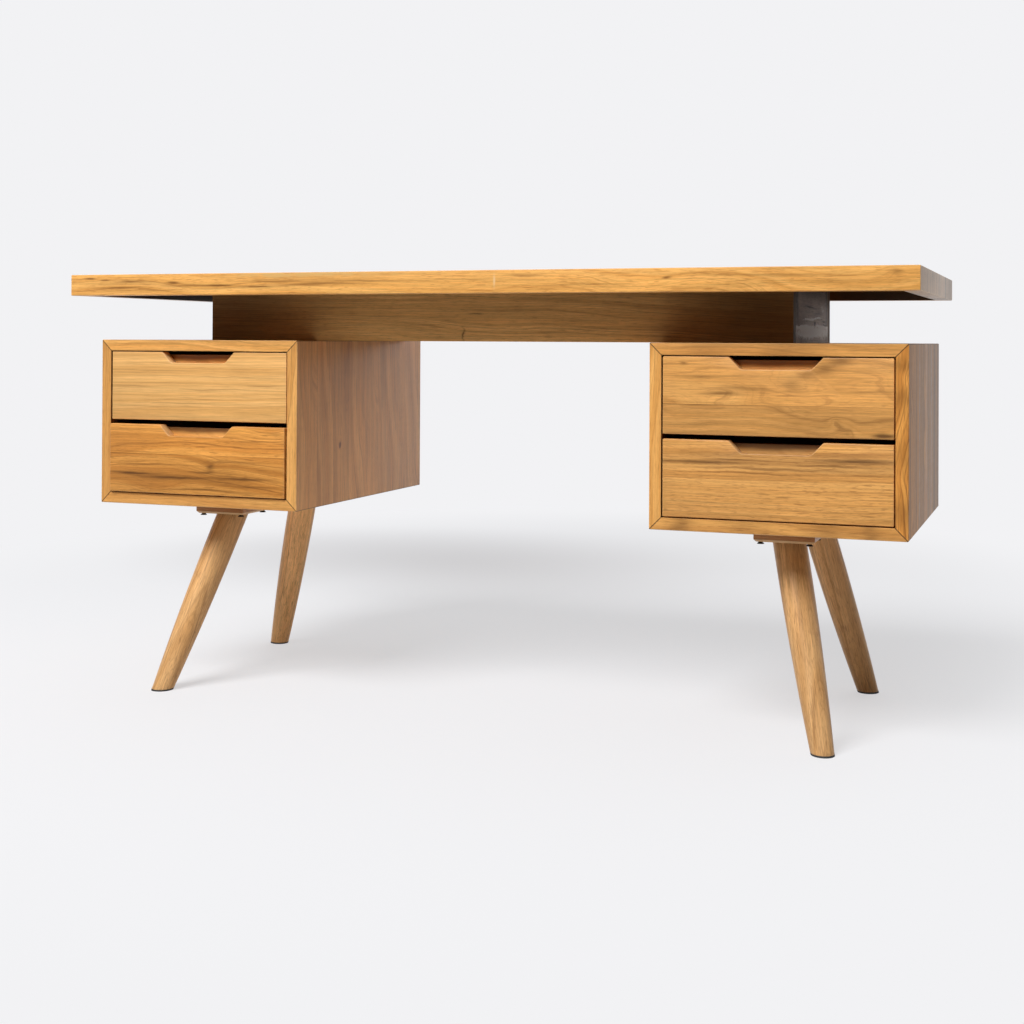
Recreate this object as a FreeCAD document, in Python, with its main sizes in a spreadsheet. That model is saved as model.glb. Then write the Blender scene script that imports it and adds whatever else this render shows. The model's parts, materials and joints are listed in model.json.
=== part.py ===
"""Writing desk with a floating top, two drawer pedestals and splayed turned legs.

A mitred top tray rests on a low riser frame. The riser bridges two pedestals of mitred boards. Each pedestal
holds two side-hung drawers and stands on two turned legs that lean outwards. Millimetres, +Z up, +X along the
width, the sitter's side at -Y, origin on the floor under the middle of the top.
"""
import FreeCAD, Part
import os
import Sketcher

# Driving dimensions: alias, millimetres, meaning
DIMENSIONS = (
    ("desk_width", 1510, "width of the top"),
    ("desk_depth", 610, "depth of the top"),
    ("top_board", 20, "thickness of the top panel"),
    ("edge_height", 38, "height of the edge boards of the top"),
    ("edge_board", 28, "thickness of the edge boards"),
    ("float_gap", 80, "clear height between pedestals and top"),
    ("side_overhang", 23, "top beyond the pedestals at each side"),
    ("front_overhang", 64, "top beyond the pedestals at the front"),
    ("back_overhang", 8, "top beyond the pedestals at the back"),
    ("riser_board", 25, "thickness of the riser boards"),
    ("riser_setback", 75, "riser behind the pedestal fronts and ahead of their backs"),
    ("riser_seat", 220, "length of riser that bears on each pedestal"),
    ("corner_block", 45, "side of the glue blocks in the riser corners"),
    ("pedestal_width", 410, "outer width of a pedestal"),
    ("pedestal_height", 303, "outer height of a pedestal"),
    ("pedestal_lift", 339, "height of the pedestals above the floor"),
    ("wall", 20, "thickness of the pedestal boards"),
    ("back_panel", 12, "thickness of a pedestal's back panel"),
    ("drawer_reveal", 2, "gap round the drawer fronts"),
    ("drawer_gap", 8, "gap between the two drawer fronts"),
    ("drawer_recess", 1, "drawer fronts behind the pedestal front"),
    ("drawer_ajar", 6, "how far the lower left drawer stands open"),
    ("front_board", 20, "thickness of a drawer front"),
    ("pull_floor_width", 112, "width of the finger pull at its floor"),
    ("pull_slope", 19, "how far each end of the finger pull slopes outwards"),
    ("pull_depth", 20, "depth of the finger pull below the top edge"),
    ("pull_corner", 9, "radius of the finger pull's floor corners"),
    ("pull_lip", 6, "flat lip in front of the finger pull's undercut"),
    ("pull_undercut", 8, "drop of the undercut behind the lip"),
    ("box_side", 14, "thickness of the drawer sides"),
    ("box_end", 12, "thickness of a drawer box's front and back"),
    ("box_bottom", 6, "thickness of a drawer bottom"),
    ("box_lift", 8, "drawer box above the lower edge of its front"),
    ("box_drop", 5, "drawer box below the upper edge of its front"),
    ("bottom_rise", 8, "drawer bottom above the lower edge of the sides"),
    ("back_inset", 8, "drawer back ahead of the rear ends of the sides"),
    ("drawer_back_room", 36, "free room behind a closed drawer"),
    ("housing", 4, "depth of the housings and grooves in a drawer box"),
    ("side_room", 5, "gap between drawer sides and pedestal walls"),
    ("runner_height", 14, "height of a drawer runner"),
    ("side_web", 3.2, "wood left between the runner groove and the housings of a drawer side"),
    ("leg_inset", 130, "leg centre from the pedestal's front or back"),
    ("leg_top_diameter", 55, "leg diameter under the plate"),
    ("leg_foot_diameter", 37, "leg diameter at the foot"),
    ("leg_swell", 2.5, "swell of a leg's side beyond a straight taper"),
    ("front_splay", 74, "sideways lean of the front legs"),
    ("front_rake", 121, "forward lean of the front legs"),
    ("rear_splay", 86, "sideways lean of the rear legs"),
    ("rear_rake", 57, "backward lean of the rear legs"),
    ("pad_thickness", 3, "thickness of the foot pads"),
    ("plate_size", 100, "side of a leg plate"),
    ("plate_thickness", 22, "thickness of a leg plate"),
    ("plate_chamfer", 4, "chamfer round a leg plate's lower face"),
    ("screw_inset", 10, "plate screws from the plate's edges"),
    ("screw_head_diameter", 12.5, "diameter of a screw's head"),
    ("screw_head_height", 3.7, "height of a screw's head"),
    ("screw_diameter", 5, "diameter of a screw's shank"),
    ("plate_screw_bite", 12, "length of a plate screw in the pedestal"),
    ("riser_screw_bite", 35, "length of a riser screw in its glue block"),
    ("bolt_diameter", 8, "diameter of the bolt that holds a leg"),
    ("bolt_in_leg", 45, "length of the bolt inside the leg"),
    ("bolt_cover", 7, "plate left above the bolt, along the leg"),
    ("fit", 0.3, "clearance round runners, bolts and screws"),
    ("overrun", 5, "how far cutting shapes reach past a surface"),
)

# Places and sizes that follow from the driving dimensions: alias, formula
LAYOUT = (
    # Heights and plan of the top, the pedestals and the riser
    ("half_width", "dims.desk_width / 2"),
    ("half_depth", "dims.desk_depth / 2"),
    ("pedestal_top", "dims.pedestal_lift + dims.pedestal_height"),
    ("tray_underside", "pedestal_top + dims.float_gap"),
    ("desk_height", "tray_underside + dims.edge_height"),
    ("panel_underside", "desk_height - dims.top_board"),
    ("pedestal_outer", "half_width - dims.side_overhang"),
    ("pedestal_inner", "pedestal_outer - dims.pedestal_width"),
    ("right_mid", "(pedestal_outer + pedestal_inner) / 2"),
    ("left_mid", "-right_mid"),
    ("pedestal_front", "dims.front_overhang - half_depth"),
    ("pedestal_back", "half_depth - dims.back_overhang"),
    ("pedestal_depth", "pedestal_back - pedestal_front"),
    ("pedestal_middle", "dims.pedestal_lift + dims.pedestal_height / 2"),
    ("opening_width", "dims.pedestal_width - 2 * dims.wall"),
    ("opening_height", "dims.pedestal_height - 2 * dims.wall"),
    ("opening_floor", "dims.pedestal_lift + dims.wall"),
    ("opening_ceiling", "pedestal_top - dims.wall"),
    ("opening_back", "pedestal_back - dims.back_panel"),
    ("riser_half", "pedestal_inner + dims.riser_seat"),
    ("riser_front", "pedestal_front + dims.riser_setback"),
    ("riser_back", "pedestal_back - dims.riser_setback"),
    ("riser_inner_front", "riser_front + dims.riser_board"),
    ("riser_inner_back", "riser_back - dims.riser_board"),
    # Drawer fronts, measured from the middle of their lower front edge
    ("front_width", "opening_width - 2 * dims.drawer_reveal"),
    ("front_height", "(opening_height - 2 * dims.drawer_reveal - dims.drawer_gap) / 2"),
    ("front_right", "front_width / 2"),
    ("front_left", "-front_right"),
    ("pull_floor_right", "dims.pull_floor_width / 2"),
    ("pull_floor_left", "-pull_floor_right"),
    ("pull_right", "pull_floor_right + dims.pull_slope"),
    ("pull_left", "-pull_right"),
    ("pull_floor", "front_height - dims.pull_depth"),
    ("undercut_floor", "pull_floor - dims.pull_undercut"),
    ("undercut_width", "dims.pull_floor_width - 2 * dims.pull_corner"),
    # Drawer places and boxes
    ("lower_front", "opening_floor + dims.drawer_reveal"),
    ("upper_front", "lower_front + front_height + dims.drawer_gap"),
    ("closed_face", "pedestal_front + dims.drawer_recess"),
    ("ajar_face", "closed_face - dims.drawer_ajar"),
    ("box_width", "opening_width - 2 * dims.side_room"),
    ("box_height", "front_height - dims.box_lift - dims.box_drop"),
    ("box_length", "opening_back - dims.drawer_back_room - closed_face - dims.front_board"),
    ("back_front", "box_length - dims.back_inset - dims.box_end"),
    ("runner_groove", "dims.box_side - dims.housing - dims.side_web"),
    ("runner_reach", "runner_groove - dims.fit"),
    ("runner_rise", "(box_height - dims.runner_height) / 2"),
    ("runner_front", "closed_face + dims.front_board + dims.fit"),
    # Legs, measured from the middle of the foot along the leg
    ("leg_top", "dims.pedestal_lift - dims.plate_thickness"),
    ("leg_rise", "leg_top - dims.pad_thickness"),
    ("leg_top_radius", "dims.leg_top_diameter / 2"),
    ("leg_foot_radius", "dims.leg_foot_diameter / 2"),
    ("leg_taper", "leg_top_radius - leg_foot_radius"),
    ("leg_stub_end", "-leg_top_radius"),
    ("front_leg_place", "pedestal_front + dims.leg_inset"),
    ("rear_leg_place", "pedestal_back - dims.leg_inset"),
    ("front_slant", "sqrt(dims.front_splay ^ 2 + dims.front_rake ^ 2)"),
    ("rear_slant", "sqrt(dims.rear_splay ^ 2 + dims.rear_rake ^ 2)"),
    ("front_length", "sqrt(leg_rise ^ 2 + front_slant ^ 2)"),
    ("rear_length", "sqrt(leg_rise ^ 2 + rear_slant ^ 2)"),
    ("front_end", "front_length + leg_top_radius"),
    ("rear_end", "rear_length + leg_top_radius"),
    ("front_bow", "(front_length ^ 2 + leg_taper ^ 2) / (8 * dims.leg_swell) + dims.leg_swell / 2"),
    ("rear_bow", "(rear_length ^ 2 + leg_taper ^ 2) / (8 * dims.leg_swell) + dims.leg_swell / 2"),
    # Leg plates and fasteners
    ("plate_right", "dims.plate_size / 2"),
    ("plate_left", "-plate_right"),
    ("screw_offset", "plate_right - dims.screw_inset"),
    ("screw_radius", "dims.screw_diameter / 2"),
    ("screw_hole_radius", "screw_radius + dims.fit"),
    ("screw_head_radius", "dims.screw_head_diameter / 2"),
    ("plate_screw_length", "dims.plate_thickness + dims.plate_screw_bite"),
    ("riser_screw_length", "dims.wall + dims.riser_screw_bite"),
    ("bolt_radius", "dims.bolt_diameter / 2"),
    ("bolt_length", "dims.bolt_in_leg + dims.plate_thickness - dims.bolt_cover"),
)

ZERO = "0"
SIDES = (("left", "-"), ("right", "+"))
ROWS = (("front", "-"), ("rear", "+"))
LEVELS = ("upper", "lower")
OPPOSITE = {"-": "+", "+": "-"}
AJAR_DRAWER = "lower_left"
SAME_PLACE = 1e-6

X_AXIS = FreeCAD.Vector(1, 0, 0)
Y_AXIS = FreeCAD.Vector(0, 1, 0)
Z_AXIS = FreeCAD.Vector(0, 0, 1)

# Directions of a mitred board's own X, Y and Z: along its length, from its show face inwards, and across it
SHOW_FACES = {
    "front": FreeCAD.Rotation(X_AXIS, Y_AXIS, Z_AXIS),
    "back": FreeCAD.Rotation(-X_AXIS, -Y_AXIS, Z_AXIS),
    "left": FreeCAD.Rotation(-Y_AXIS, X_AXIS, Z_AXIS),
    "right": FreeCAD.Rotation(Y_AXIS, -X_AXIS, Z_AXIS),
    "up": FreeCAD.Rotation(X_AXIS, -Z_AXIS, Y_AXIS),
    "down": FreeCAD.Rotation(-X_AXIS, Z_AXIS, Y_AXIS),
    "upright_left": FreeCAD.Rotation(Z_AXIS, X_AXIS, Y_AXIS),
    "upright_right": FreeCAD.Rotation(-Z_AXIS, -X_AXIS, Y_AXIS),
}

doc = FreeCAD.newDocument("desk")
nodes = []


def fill_sheet(name, rows):
    """A spreadsheet with an alias, its content and a note on each row."""
    sheet = doc.addObject("Spreadsheet::Sheet", name)
    for number, (alias, content, note) in enumerate(rows, start=1):
        sheet.set(f"A{number}", note)
        sheet.set(f"B{number}", content)
        sheet.setAlias(f"B{number}", alias)


fill_sheet("dims", [(alias, str(size), meaning) for alias, size, meaning in DIMENSIONS])
fill_sheet("layout", [(alias, "=" + formula, alias) for alias, formula in LAYOUT])
doc.recompute()


def bind(item, formulas):
    """Binds properties of an object to formulas."""
    for path, formula in formulas.items():
        item.setExpression(path, formula)


def place(item, x, y, z):
    """Binds an object's position to formulas."""
    bind(item, {"Placement.Base.x": x, "Placement.Base.y": y, "Placement.Base.z": z})


def keep(item, label):
    """Marks an object as a sub-part of the desk."""
    item.Label = label
    nodes.append(item)


def signed(sign, formula):
    """The formula counted to the left or front (-), or to the right or back (+)."""
    return f"{sign}1 * ({formula})"


def inward(face, sign, near, far):
    """Low and high end of a span that goes inwards from a face on the - or + side."""
    if sign == "-":
        return f"{face} + ({near})", f"{face} + ({far})"
    return f"{face} - ({far})", f"{face} - ({near})"


def block(name, x, y, z):
    """A square-edged board, given by its low and high end on each axis."""
    item = doc.addObject("Part::Box", name)
    for size, (low, high) in zip(("Length", "Width", "Height"), (x, y, z)):
        item.setExpression(size, f"({high}) - ({low})")
    place(item, x[0], y[0], z[0])
    return item


def rod(name, radius, length, x, y, z):
    """A cylinder that stands on x, y, z."""
    item = doc.addObject("Part::Cylinder", name)
    bind(item, {"Radius": radius, "Height": length})
    place(item, x, y, z)
    return item


def mitred_board(name, show_face, length, across, thickness, x, y, z):
    """A board with both ends mitred inwards, centred on its length, with its show face at x, y, z."""
    item = doc.addObject("Part::Wedge", name)
    half = f"({length}) / 2"
    bind(item, {
        "Xmin": f"-{half}", "Xmax": half, "X2min": f"{thickness} - {half}", "X2max": f"{half} - {thickness}",
        "Ymin": ZERO, "Ymax": thickness, "Zmin": ZERO, "Zmax": across, "Z2min": ZERO, "Z2max": across,
    })
    item.Placement.Rotation = SHOW_FACES[show_face]
    place(item, x, y, z)
    return item


def group(name, items):
    """Separate solids that share one node."""
    item = doc.addObject("Part::Compound", name)
    item.Links = items
    return item


def carve(name, base, tools):
    """The base with all the tools cut out of it."""
    tool = tools[0]
    if len(tools) > 1:
        tool = doc.addObject("Part::MultiFuse", f"{name}_tools")
        tool.Shapes = tools
    item = doc.addObject("Part::Cut", name)
    item.Base = base
    item.Tool = tool
    return item


def common(name, base, tool):
    """What two shapes share."""
    item = doc.addObject("Part::Common", name)
    item.Base = base
    item.Tool = tool
    return item


def screw(name, x, y, z, length, head_low_radius, head_high_radius):
    """A screw driven upwards, with the shank starting at z and the head below it."""
    head = doc.addObject("Part::Cone", f"{name}_head")
    bind(head, {"Radius1": head_low_radius, "Radius2": head_high_radius, "Height": "dims.screw_head_height"})
    place(head, x, y, f"{z} - dims.screw_head_height")
    item = doc.addObject("Part::MultiFuse", name)
    item.Shapes = [head, rod(f"{name}_shank", "layout.screw_radius", length, x, y, z)]
    return item


def screw_hole(name, x, y, z, length):
    """Clearance hole for a screw, open below z."""
    whole_length = f"{length} + dims.overrun + dims.fit"
    return rod(name, "layout.screw_hole_radius", whole_length, x, y, f"{z} - dims.overrun")


def new_sketch(body, name, role):
    """A sketch on one of the body's own origin planes."""
    sketch = body.newObject("Sketcher::SketchObject", name)
    plane = next(feature for feature in body.Origin.OriginFeatures if feature.Role == role)
    sketch.AttachmentSupport = (plane, [""])
    sketch.MapMode = "FlatFace"
    return sketch


def present(reference):
    """The present value of a reference such as layout.leg_rise, for the first drawing of a sketch."""
    if reference == ZERO:
        return 0.0
    sheet, alias = reference.split(".")
    return float(doc.getObject(sheet).get(alias))


def point(corner):
    """A sketch point at a pair of references."""
    return FreeCAD.Vector(present(corner[0]), present(corner[1]), 0)


def constrain(sketch, constraint, reference):
    """Adds a sketch dimension that follows a reference."""
    index = sketch.addConstraint(constraint)
    if reference != ZERO:
        sketch.setExpression(f"Constraints[{index}]", reference)


def close_outline(sketch, corners):
    """Joins the sketch's edges in a ring and ties the start of each to its pair of references."""
    for edge, corner in enumerate(corners):
        after = (edge + 1) % len(corners)
        sketch.addConstraint(Sketcher.Constraint("Coincident", edge, 2, after, 1))
        for kind, reference in zip(("DistanceX", "DistanceY"), corner):
            constrain(sketch, Sketcher.Constraint(kind, -1, 1, edge, 1, present(reference)), reference)


def straight_outline(sketch, corners):
    """A closed outline of straight edges through pairs of references."""
    for start, end in zip(corners, corners[1:] + corners[:1]):
        sketch.addGeometry(Part.LineSegment(point(start), point(end)), False)
    close_outline(sketch, corners)


def pocket(body, sketch, name, **settings):
    """A pocket that has to remove material."""
    doc.recompute()
    before = body.Shape.Volume
    feature = body.newObject("PartDesign::Pocket", name)
    feature.Profile = sketch
    for setting, value in settings.items():
        setattr(feature, setting, value)
    doc.recompute()
    if body.Shape.Volume >= before - SAME_PLACE:
        raise ValueError(f"{name} cuts nothing")
    return feature


def top_tray():
    """Top panel whose four edges are mitred into the edge boards that hang round it."""
    panel = doc.addObject("Part::Wedge", "panel")
    bind(panel, {
        "Xmin": "-layout.half_width", "Xmax": "layout.half_width",
        "X2min": "dims.edge_board - layout.half_width", "X2max": "layout.half_width - dims.edge_board",
        "Zmin": "-layout.half_depth", "Zmax": "layout.half_depth",
        "Z2min": "dims.edge_board - layout.half_depth", "Z2max": "layout.half_depth - dims.edge_board",
        "Ymin": ZERO, "Ymax": "dims.top_board",
    })
    panel.Placement.Rotation = SHOW_FACES["up"]
    place(panel, ZERO, ZERO, "layout.desk_height")
    keep(panel, "top_panel")
    edges = (
        ("front", "dims.desk_width", ZERO, "-layout.half_depth"),
        ("back", "dims.desk_width", ZERO, "layout.half_depth"),
        ("left", "dims.desk_depth", "-layout.half_width", ZERO),
        ("right", "dims.desk_depth", "layout.half_width", ZERO),
    )
    for side, length, x, y in edges:
        blank = mitred_board(f"{side}_edge_blank", side, length, "dims.edge_height", "dims.edge_board",
                             x, y, "layout.tray_underside")
        keep(carve(f"{side}_edge", blank, [panel]), f"top_{side}_edge")


def riser():
    """Low frame under the top: two long rails with two end boards between them."""
    length = ("-layout.riser_half", "layout.riser_half")
    height = ("layout.pedestal_top", "layout.panel_underside")
    front = ("layout.riser_front", "layout.riser_inner_front")
    back = ("layout.riser_inner_back", "layout.riser_back")
    keep(block("front_rail", length, front, height), "riser_front_rail")
    keep(block("back_rail", length, back, height), "riser_back_rail")
    for side, sign in SIDES:
        face = signed(sign, "layout.riser_half")
        across = inward(face, sign, ZERO, "dims.riser_board")
        end = block(f"{side}_end", across, ("layout.riser_inner_front", "layout.riser_inner_back"), height)
        keep(end, f"riser_{side}_end")


def riser_fixings():
    """Glue blocks in the riser's corners, each held by a screw from the pedestal. Returns the holes."""
    height = ("layout.pedestal_top", "layout.panel_underside")
    ceiling = "layout.opening_ceiling"
    length = "layout.riser_screw_length"
    blocks = []
    screws = []
    holes = {"left": [], "right": []}
    for side, sign in SIDES:
        across = inward(signed(sign, "layout.riser_half"), sign, "dims.riser_board",
                        "dims.riser_board + dims.corner_block")
        for row, row_sign in ROWS:
            name = f"{row}_{side}"
            wall = "layout.riser_inner_front" if row == "front" else "layout.riser_inner_back"
            along = inward(wall, row_sign, ZERO, "dims.corner_block")
            blank = block(f"{name}_block_blank", across, along, height)
            x = f"({across[0]}) + dims.corner_block / 2"
            y = f"({along[0]}) + dims.corner_block / 2"
            hole = screw_hole(f"{name}_riser_hole", x, y, ceiling, length)
            holes[side].append(hole)
            blocks.append(carve(f"{name}_block", blank, [hole]))
            screws.append(screw(f"{name}_riser_screw", x, y, ceiling, length,
                                "layout.screw_radius", "layout.screw_head_radius"))
    keep(group("corner_blocks", blocks), "riser_corner_blocks")
    keep(group("riser_screw_set", screws), "riser_screws")
    return holes


def plate_fixings():
    """Four screws through each leg plate into its pedestal. Returns the holes of each plate."""
    underside = "layout.leg_top"
    length = "layout.plate_screw_length"
    screws = []
    holes = {}
    for row, _ in ROWS:
        for side, _ in SIDES:
            name = f"{row}_{side}"
            holes[name] = []
            for x_sign in OPPOSITE:
                for y_sign in OPPOSITE:
                    corner = f"{name}_{len(holes[name])}"
                    x = f"layout.{side}_mid {x_sign} layout.screw_offset"
                    y = f"layout.{row}_leg_place {y_sign} layout.screw_offset"
                    holes[name].append(screw_hole(f"plate_hole_{corner}", x, y, underside, length))
                    screws.append(screw(f"plate_screw_{corner}", x, y, underside, length,
                                        "layout.screw_head_radius", "layout.screw_radius"))
    keep(group("plate_screw_set", screws), "plate_screws")
    return holes


def pedestal(side, sign, top_holes, bottom_holes):
    """Box of four boards mitred at the corners, with a back panel let in between them."""
    mid = f"layout.{side}_mid"
    front = "layout.pedestal_front"
    depth = "layout.pedestal_depth"
    top = mitred_board(f"{side}_top_blank", "up", "dims.pedestal_width", depth, "dims.wall",
                       mid, front, "layout.pedestal_top")
    bottom = mitred_board(f"{side}_bottom_blank", "down", "dims.pedestal_width", depth, "dims.wall",
                          mid, front, "dims.pedestal_lift")
    keep(carve(f"{side}_top", top, top_holes), f"{side}_pedestal_top")
    keep(carve(f"{side}_bottom", bottom, bottom_holes), f"{side}_pedestal_bottom")
    for name, face_sign in (("outer", sign), ("inner", OPPOSITE[sign])):
        show_face = "upright_left" if face_sign == "-" else "upright_right"
        upright = mitred_board(f"{side}_{name}_side", show_face, "dims.pedestal_height", depth, "dims.wall",
                               signed(sign, f"layout.pedestal_{name}"), front, "layout.pedestal_middle")
        keep(upright, f"{side}_pedestal_{name}_side")
    across = (f"{mid} - layout.opening_width / 2", f"{mid} + layout.opening_width / 2")
    back = block(f"{side}_back", across, ("layout.opening_back", "layout.pedestal_back"),
                 ("layout.opening_floor", "layout.opening_ceiling"))
    keep(back, f"{side}_pedestal_back")


def runners(side):
    """Strips on the pedestal walls that carry both drawers by the grooves in their sides."""
    length = ("layout.runner_front", "layout.opening_back")
    strips = []
    for level in LEVELS:
        low = f"layout.{level}_front + dims.box_lift + layout.runner_rise"
        for wall, sign in SIDES:
            face = f"layout.{side}_mid {sign} layout.opening_width / 2"
            across = inward(face, sign, ZERO, "dims.side_room + layout.runner_reach")
            height = (low, f"{low} + dims.runner_height")
            strips.append(block(f"{side}_{level}_{wall}_runner", across, length, height))
    keep(group(f"{side}_runners", strips), f"{side}_drawer_runners")


def drawer_front(name, mid, face, low):
    """Front board with a trapezoid finger pull in its top edge, undercut behind the pull's lip."""
    body = doc.addObject("PartDesign::Body", f"{name}_face")
    board_sketch = new_sketch(body, f"{name}_board_sketch", "XZ_Plane")
    straight_outline(board_sketch, (
        ("layout.front_left", ZERO), ("layout.front_right", ZERO),
        ("layout.front_right", "layout.front_height"), ("layout.front_left", "layout.front_height"),
    ))
    board = body.newObject("PartDesign::Pad", f"{name}_board")
    board.Profile = board_sketch
    board.Reversed = True
    board.setExpression("Length", "dims.front_board")
    pull_sketch = new_sketch(body, f"{name}_pull_sketch", "XZ_Plane")
    straight_outline(pull_sketch, (
        ("layout.pull_floor_left", "layout.pull_floor"), ("layout.pull_floor_right", "layout.pull_floor"),
        ("layout.pull_right", "layout.front_height"), ("layout.pull_left", "layout.front_height"),
    ))
    pull = pocket(body, pull_sketch, f"{name}_pull", Type="ThroughAll", SideType="Symmetric")
    rounding = body.newObject("PartDesign::Fillet", f"{name}_pull_corners")
    rounding.Base = (pull, pull_corner_edges(pull.Shape))
    rounding.setExpression("Radius", "dims.pull_corner")
    undercut_sketch = new_sketch(body, f"{name}_undercut_sketch", "YZ_Plane")
    straight_outline(undercut_sketch, (
        ("dims.pull_lip", "layout.pull_floor"), ("dims.front_board", "layout.undercut_floor"),
        ("dims.front_board", "layout.pull_floor"),
    ))
    undercut = pocket(body, undercut_sketch, f"{name}_undercut", SideType="Symmetric")
    undercut.setExpression("Length", "layout.undercut_width")
    place(body, mid, face, low)
    keep(body, f"{name}_drawer_front")


def pull_corner_edges(shape):
    """Names of the edges through the board where the slopes of the finger pull meet its floor."""
    floor = present("layout.pull_floor")
    names = []
    for number, edge in enumerate(shape.Edges, start=1):
        start, end = (vertex.Point for vertex in edge.Vertexes)
        across_board = abs(start.y - end.y) > present("dims.front_board") / 2
        if across_board and abs(start.z - floor) < SAME_PLACE:
            names.append(f"Edge{number}")
    return names


def drawer_side(name, side, sign, mid, near, low):
    """Drawer side with a runner groove outside, and housings for the box's ends and bottom inside."""
    outer = f"{mid} {sign} layout.box_width / 2"
    thickness = inward(outer, sign, ZERO, "dims.box_side")
    runner_groove = inward(outer, sign, "-dims.overrun", "layout.runner_groove")
    housing = inward(outer, sign, "dims.box_side - dims.housing", "dims.box_side + dims.overrun")
    whole_length = (near, f"{near} + layout.box_length")
    past_ends = (f"{near} - dims.overrun", f"{near} + layout.box_length + dims.overrun")
    runner_low = f"{low} + layout.runner_rise"
    floor = f"{low} + dims.bottom_rise"
    past_height = (f"{low} - dims.overrun", f"{low} + layout.box_height + dims.overrun")
    tools = [
        block(f"{name}_{side}_runner_groove", runner_groove, past_ends,
              (f"{runner_low} - dims.fit", f"{runner_low} + dims.runner_height + dims.fit")),
        block(f"{name}_{side}_bottom_groove", housing, past_ends, (floor, f"{floor} + dims.box_bottom")),
        block(f"{name}_{side}_front_housing", housing, (f"{near} - dims.overrun", f"{near} + dims.box_end"),
              past_height),
        block(f"{name}_{side}_back_housing", housing,
              (f"{near} + layout.back_front", f"{near} + layout.back_front + dims.box_end"),
              (floor, past_height[1])),
    ]
    blank = block(f"{name}_{side}_blank", thickness, whole_length, (low, f"{low} + layout.box_height"))
    keep(carve(f"{name}_{side}", blank, tools), f"{name}_drawer_{side}_side")


def drawer_ends(name, mid, near, low):
    """Front and back of the drawer box, housed in the sides. The bottom runs under the back."""
    half = "layout.box_width / 2 - dims.box_side + dims.housing"
    across = (f"{mid} - ({half})", f"{mid} + ({half})")
    floor = f"{low} + dims.bottom_rise"
    top = f"{low} + layout.box_height"
    inner = f"{near} + dims.box_end"
    blank = block(f"{name}_inner_front_blank", across, (near, inner), (low, top))
    past_ends = (f"{across[0]} - dims.overrun", f"{across[1]} + dims.overrun")
    bottom_height = (floor, f"{floor} + dims.box_bottom")
    groove_depth = (f"{inner} - dims.housing", f"{inner} + dims.overrun")
    groove = block(f"{name}_inner_front_groove", past_ends, groove_depth, bottom_height)
    keep(carve(f"{name}_inner_front", blank, [groove]), f"{name}_drawer_inner_front")
    back = (f"{near} + layout.back_front", f"{near} + layout.back_front + dims.box_end")
    keep(block(f"{name}_back", across, back, (f"{floor} + dims.box_bottom", top)), f"{name}_drawer_back")
    bottom = (f"{inner} - dims.housing", f"{near} + layout.box_length")
    keep(block(f"{name}_bottom", across, bottom, bottom_height), f"{name}_drawer_bottom")


def drawer(side, level):
    """One drawer: a show front and the box behind it."""
    name = f"{level}_{side}"
    mid = f"layout.{side}_mid"
    face = "layout.ajar_face" if name == AJAR_DRAWER else "layout.closed_face"
    low = f"layout.{level}_front"
    near = f"{face} + dims.front_board"
    drawer_front(name, mid, face, low)
    for box_side, sign in SIDES:
        drawer_side(name, box_side, sign, mid, near, f"{low} + dims.box_lift")
    drawer_ends(name, mid, near, f"{low} + dims.box_lift")


def lean(item, row, sign, row_sign):
    """Turns an upright object to the lean of a leg."""
    bind(item, {
        "Placement.Rotation.Axis.x": signed(row_sign, f"dims.{row}_rake"),
        "Placement.Rotation.Axis.y": signed(OPPOSITE[sign], f"dims.{row}_splay"),
        "Placement.Rotation.Axis.z": ZERO,
        "Placement.Rotation.Angle": f"atan(layout.{row}_slant / layout.leg_rise)",
    })


def leg_turning(name, row):
    """Turned leg with a swelling taper, longer at both ends than the finished leg."""
    body = doc.addObject("PartDesign::Body", f"{name}_turning")
    sketch = new_sketch(body, f"{name}_profile", "XZ_Plane")
    foot = "layout.leg_foot_radius"
    top = "layout.leg_top_radius"
    corners = (
        (ZERO, "layout.leg_stub_end"), (foot, "layout.leg_stub_end"), (foot, ZERO),
        (top, f"layout.{row}_length"), (top, f"layout.{row}_end"), (ZERO, f"layout.{row}_end"),
    )
    swelling_edge = corners.index((foot, ZERO))
    for edge, (start, end) in enumerate(zip(corners, corners[1:] + corners[:1])):
        shape = Part.LineSegment(point(start), point(end))
        if edge == swelling_edge:
            middle = (point(start) + point(end)) / 2 + X_AXIS * present("dims.leg_swell")
            shape = Part.Arc(point(start), middle, point(end))
        sketch.addGeometry(shape, False)
    close_outline(sketch, corners)
    bow = f"layout.{row}_bow"
    constrain(sketch, Sketcher.Constraint("Radius", swelling_edge, present(bow)), bow)
    turning = body.newObject("PartDesign::Revolution", f"{name}_revolution")
    turning.Profile = sketch
    turning.ReferenceAxis = (sketch, ["V_Axis"])
    return body


def leg_plate(name, side, row):
    """Square plate under the pedestal with its lower edges chamfered."""
    body = doc.addObject("PartDesign::Body", f"{name}_plate_body")
    sketch = new_sketch(body, f"{name}_plate_sketch", "XY_Plane")
    low = "layout.plate_left"
    high = "layout.plate_right"
    straight_outline(sketch, ((low, low), (high, low), (high, high), (low, high)))
    square = body.newObject("PartDesign::Pad", f"{name}_plate_square")
    square.Profile = sketch
    square.setExpression("Length", "dims.plate_thickness")
    doc.recompute()
    heights = [face.CenterOfMass.z for face in square.Shape.Faces]
    lower_face = heights.index(min(heights)) + 1
    chamfer = body.newObject("PartDesign::Chamfer", f"{name}_plate_chamfer")
    chamfer.Base = (square, [f"Face{lower_face}"])
    chamfer.setExpression("Size", "dims.plate_chamfer")
    place(body, f"layout.{side}_mid", f"layout.{row}_leg_place", "layout.leg_top")
    return body


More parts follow.
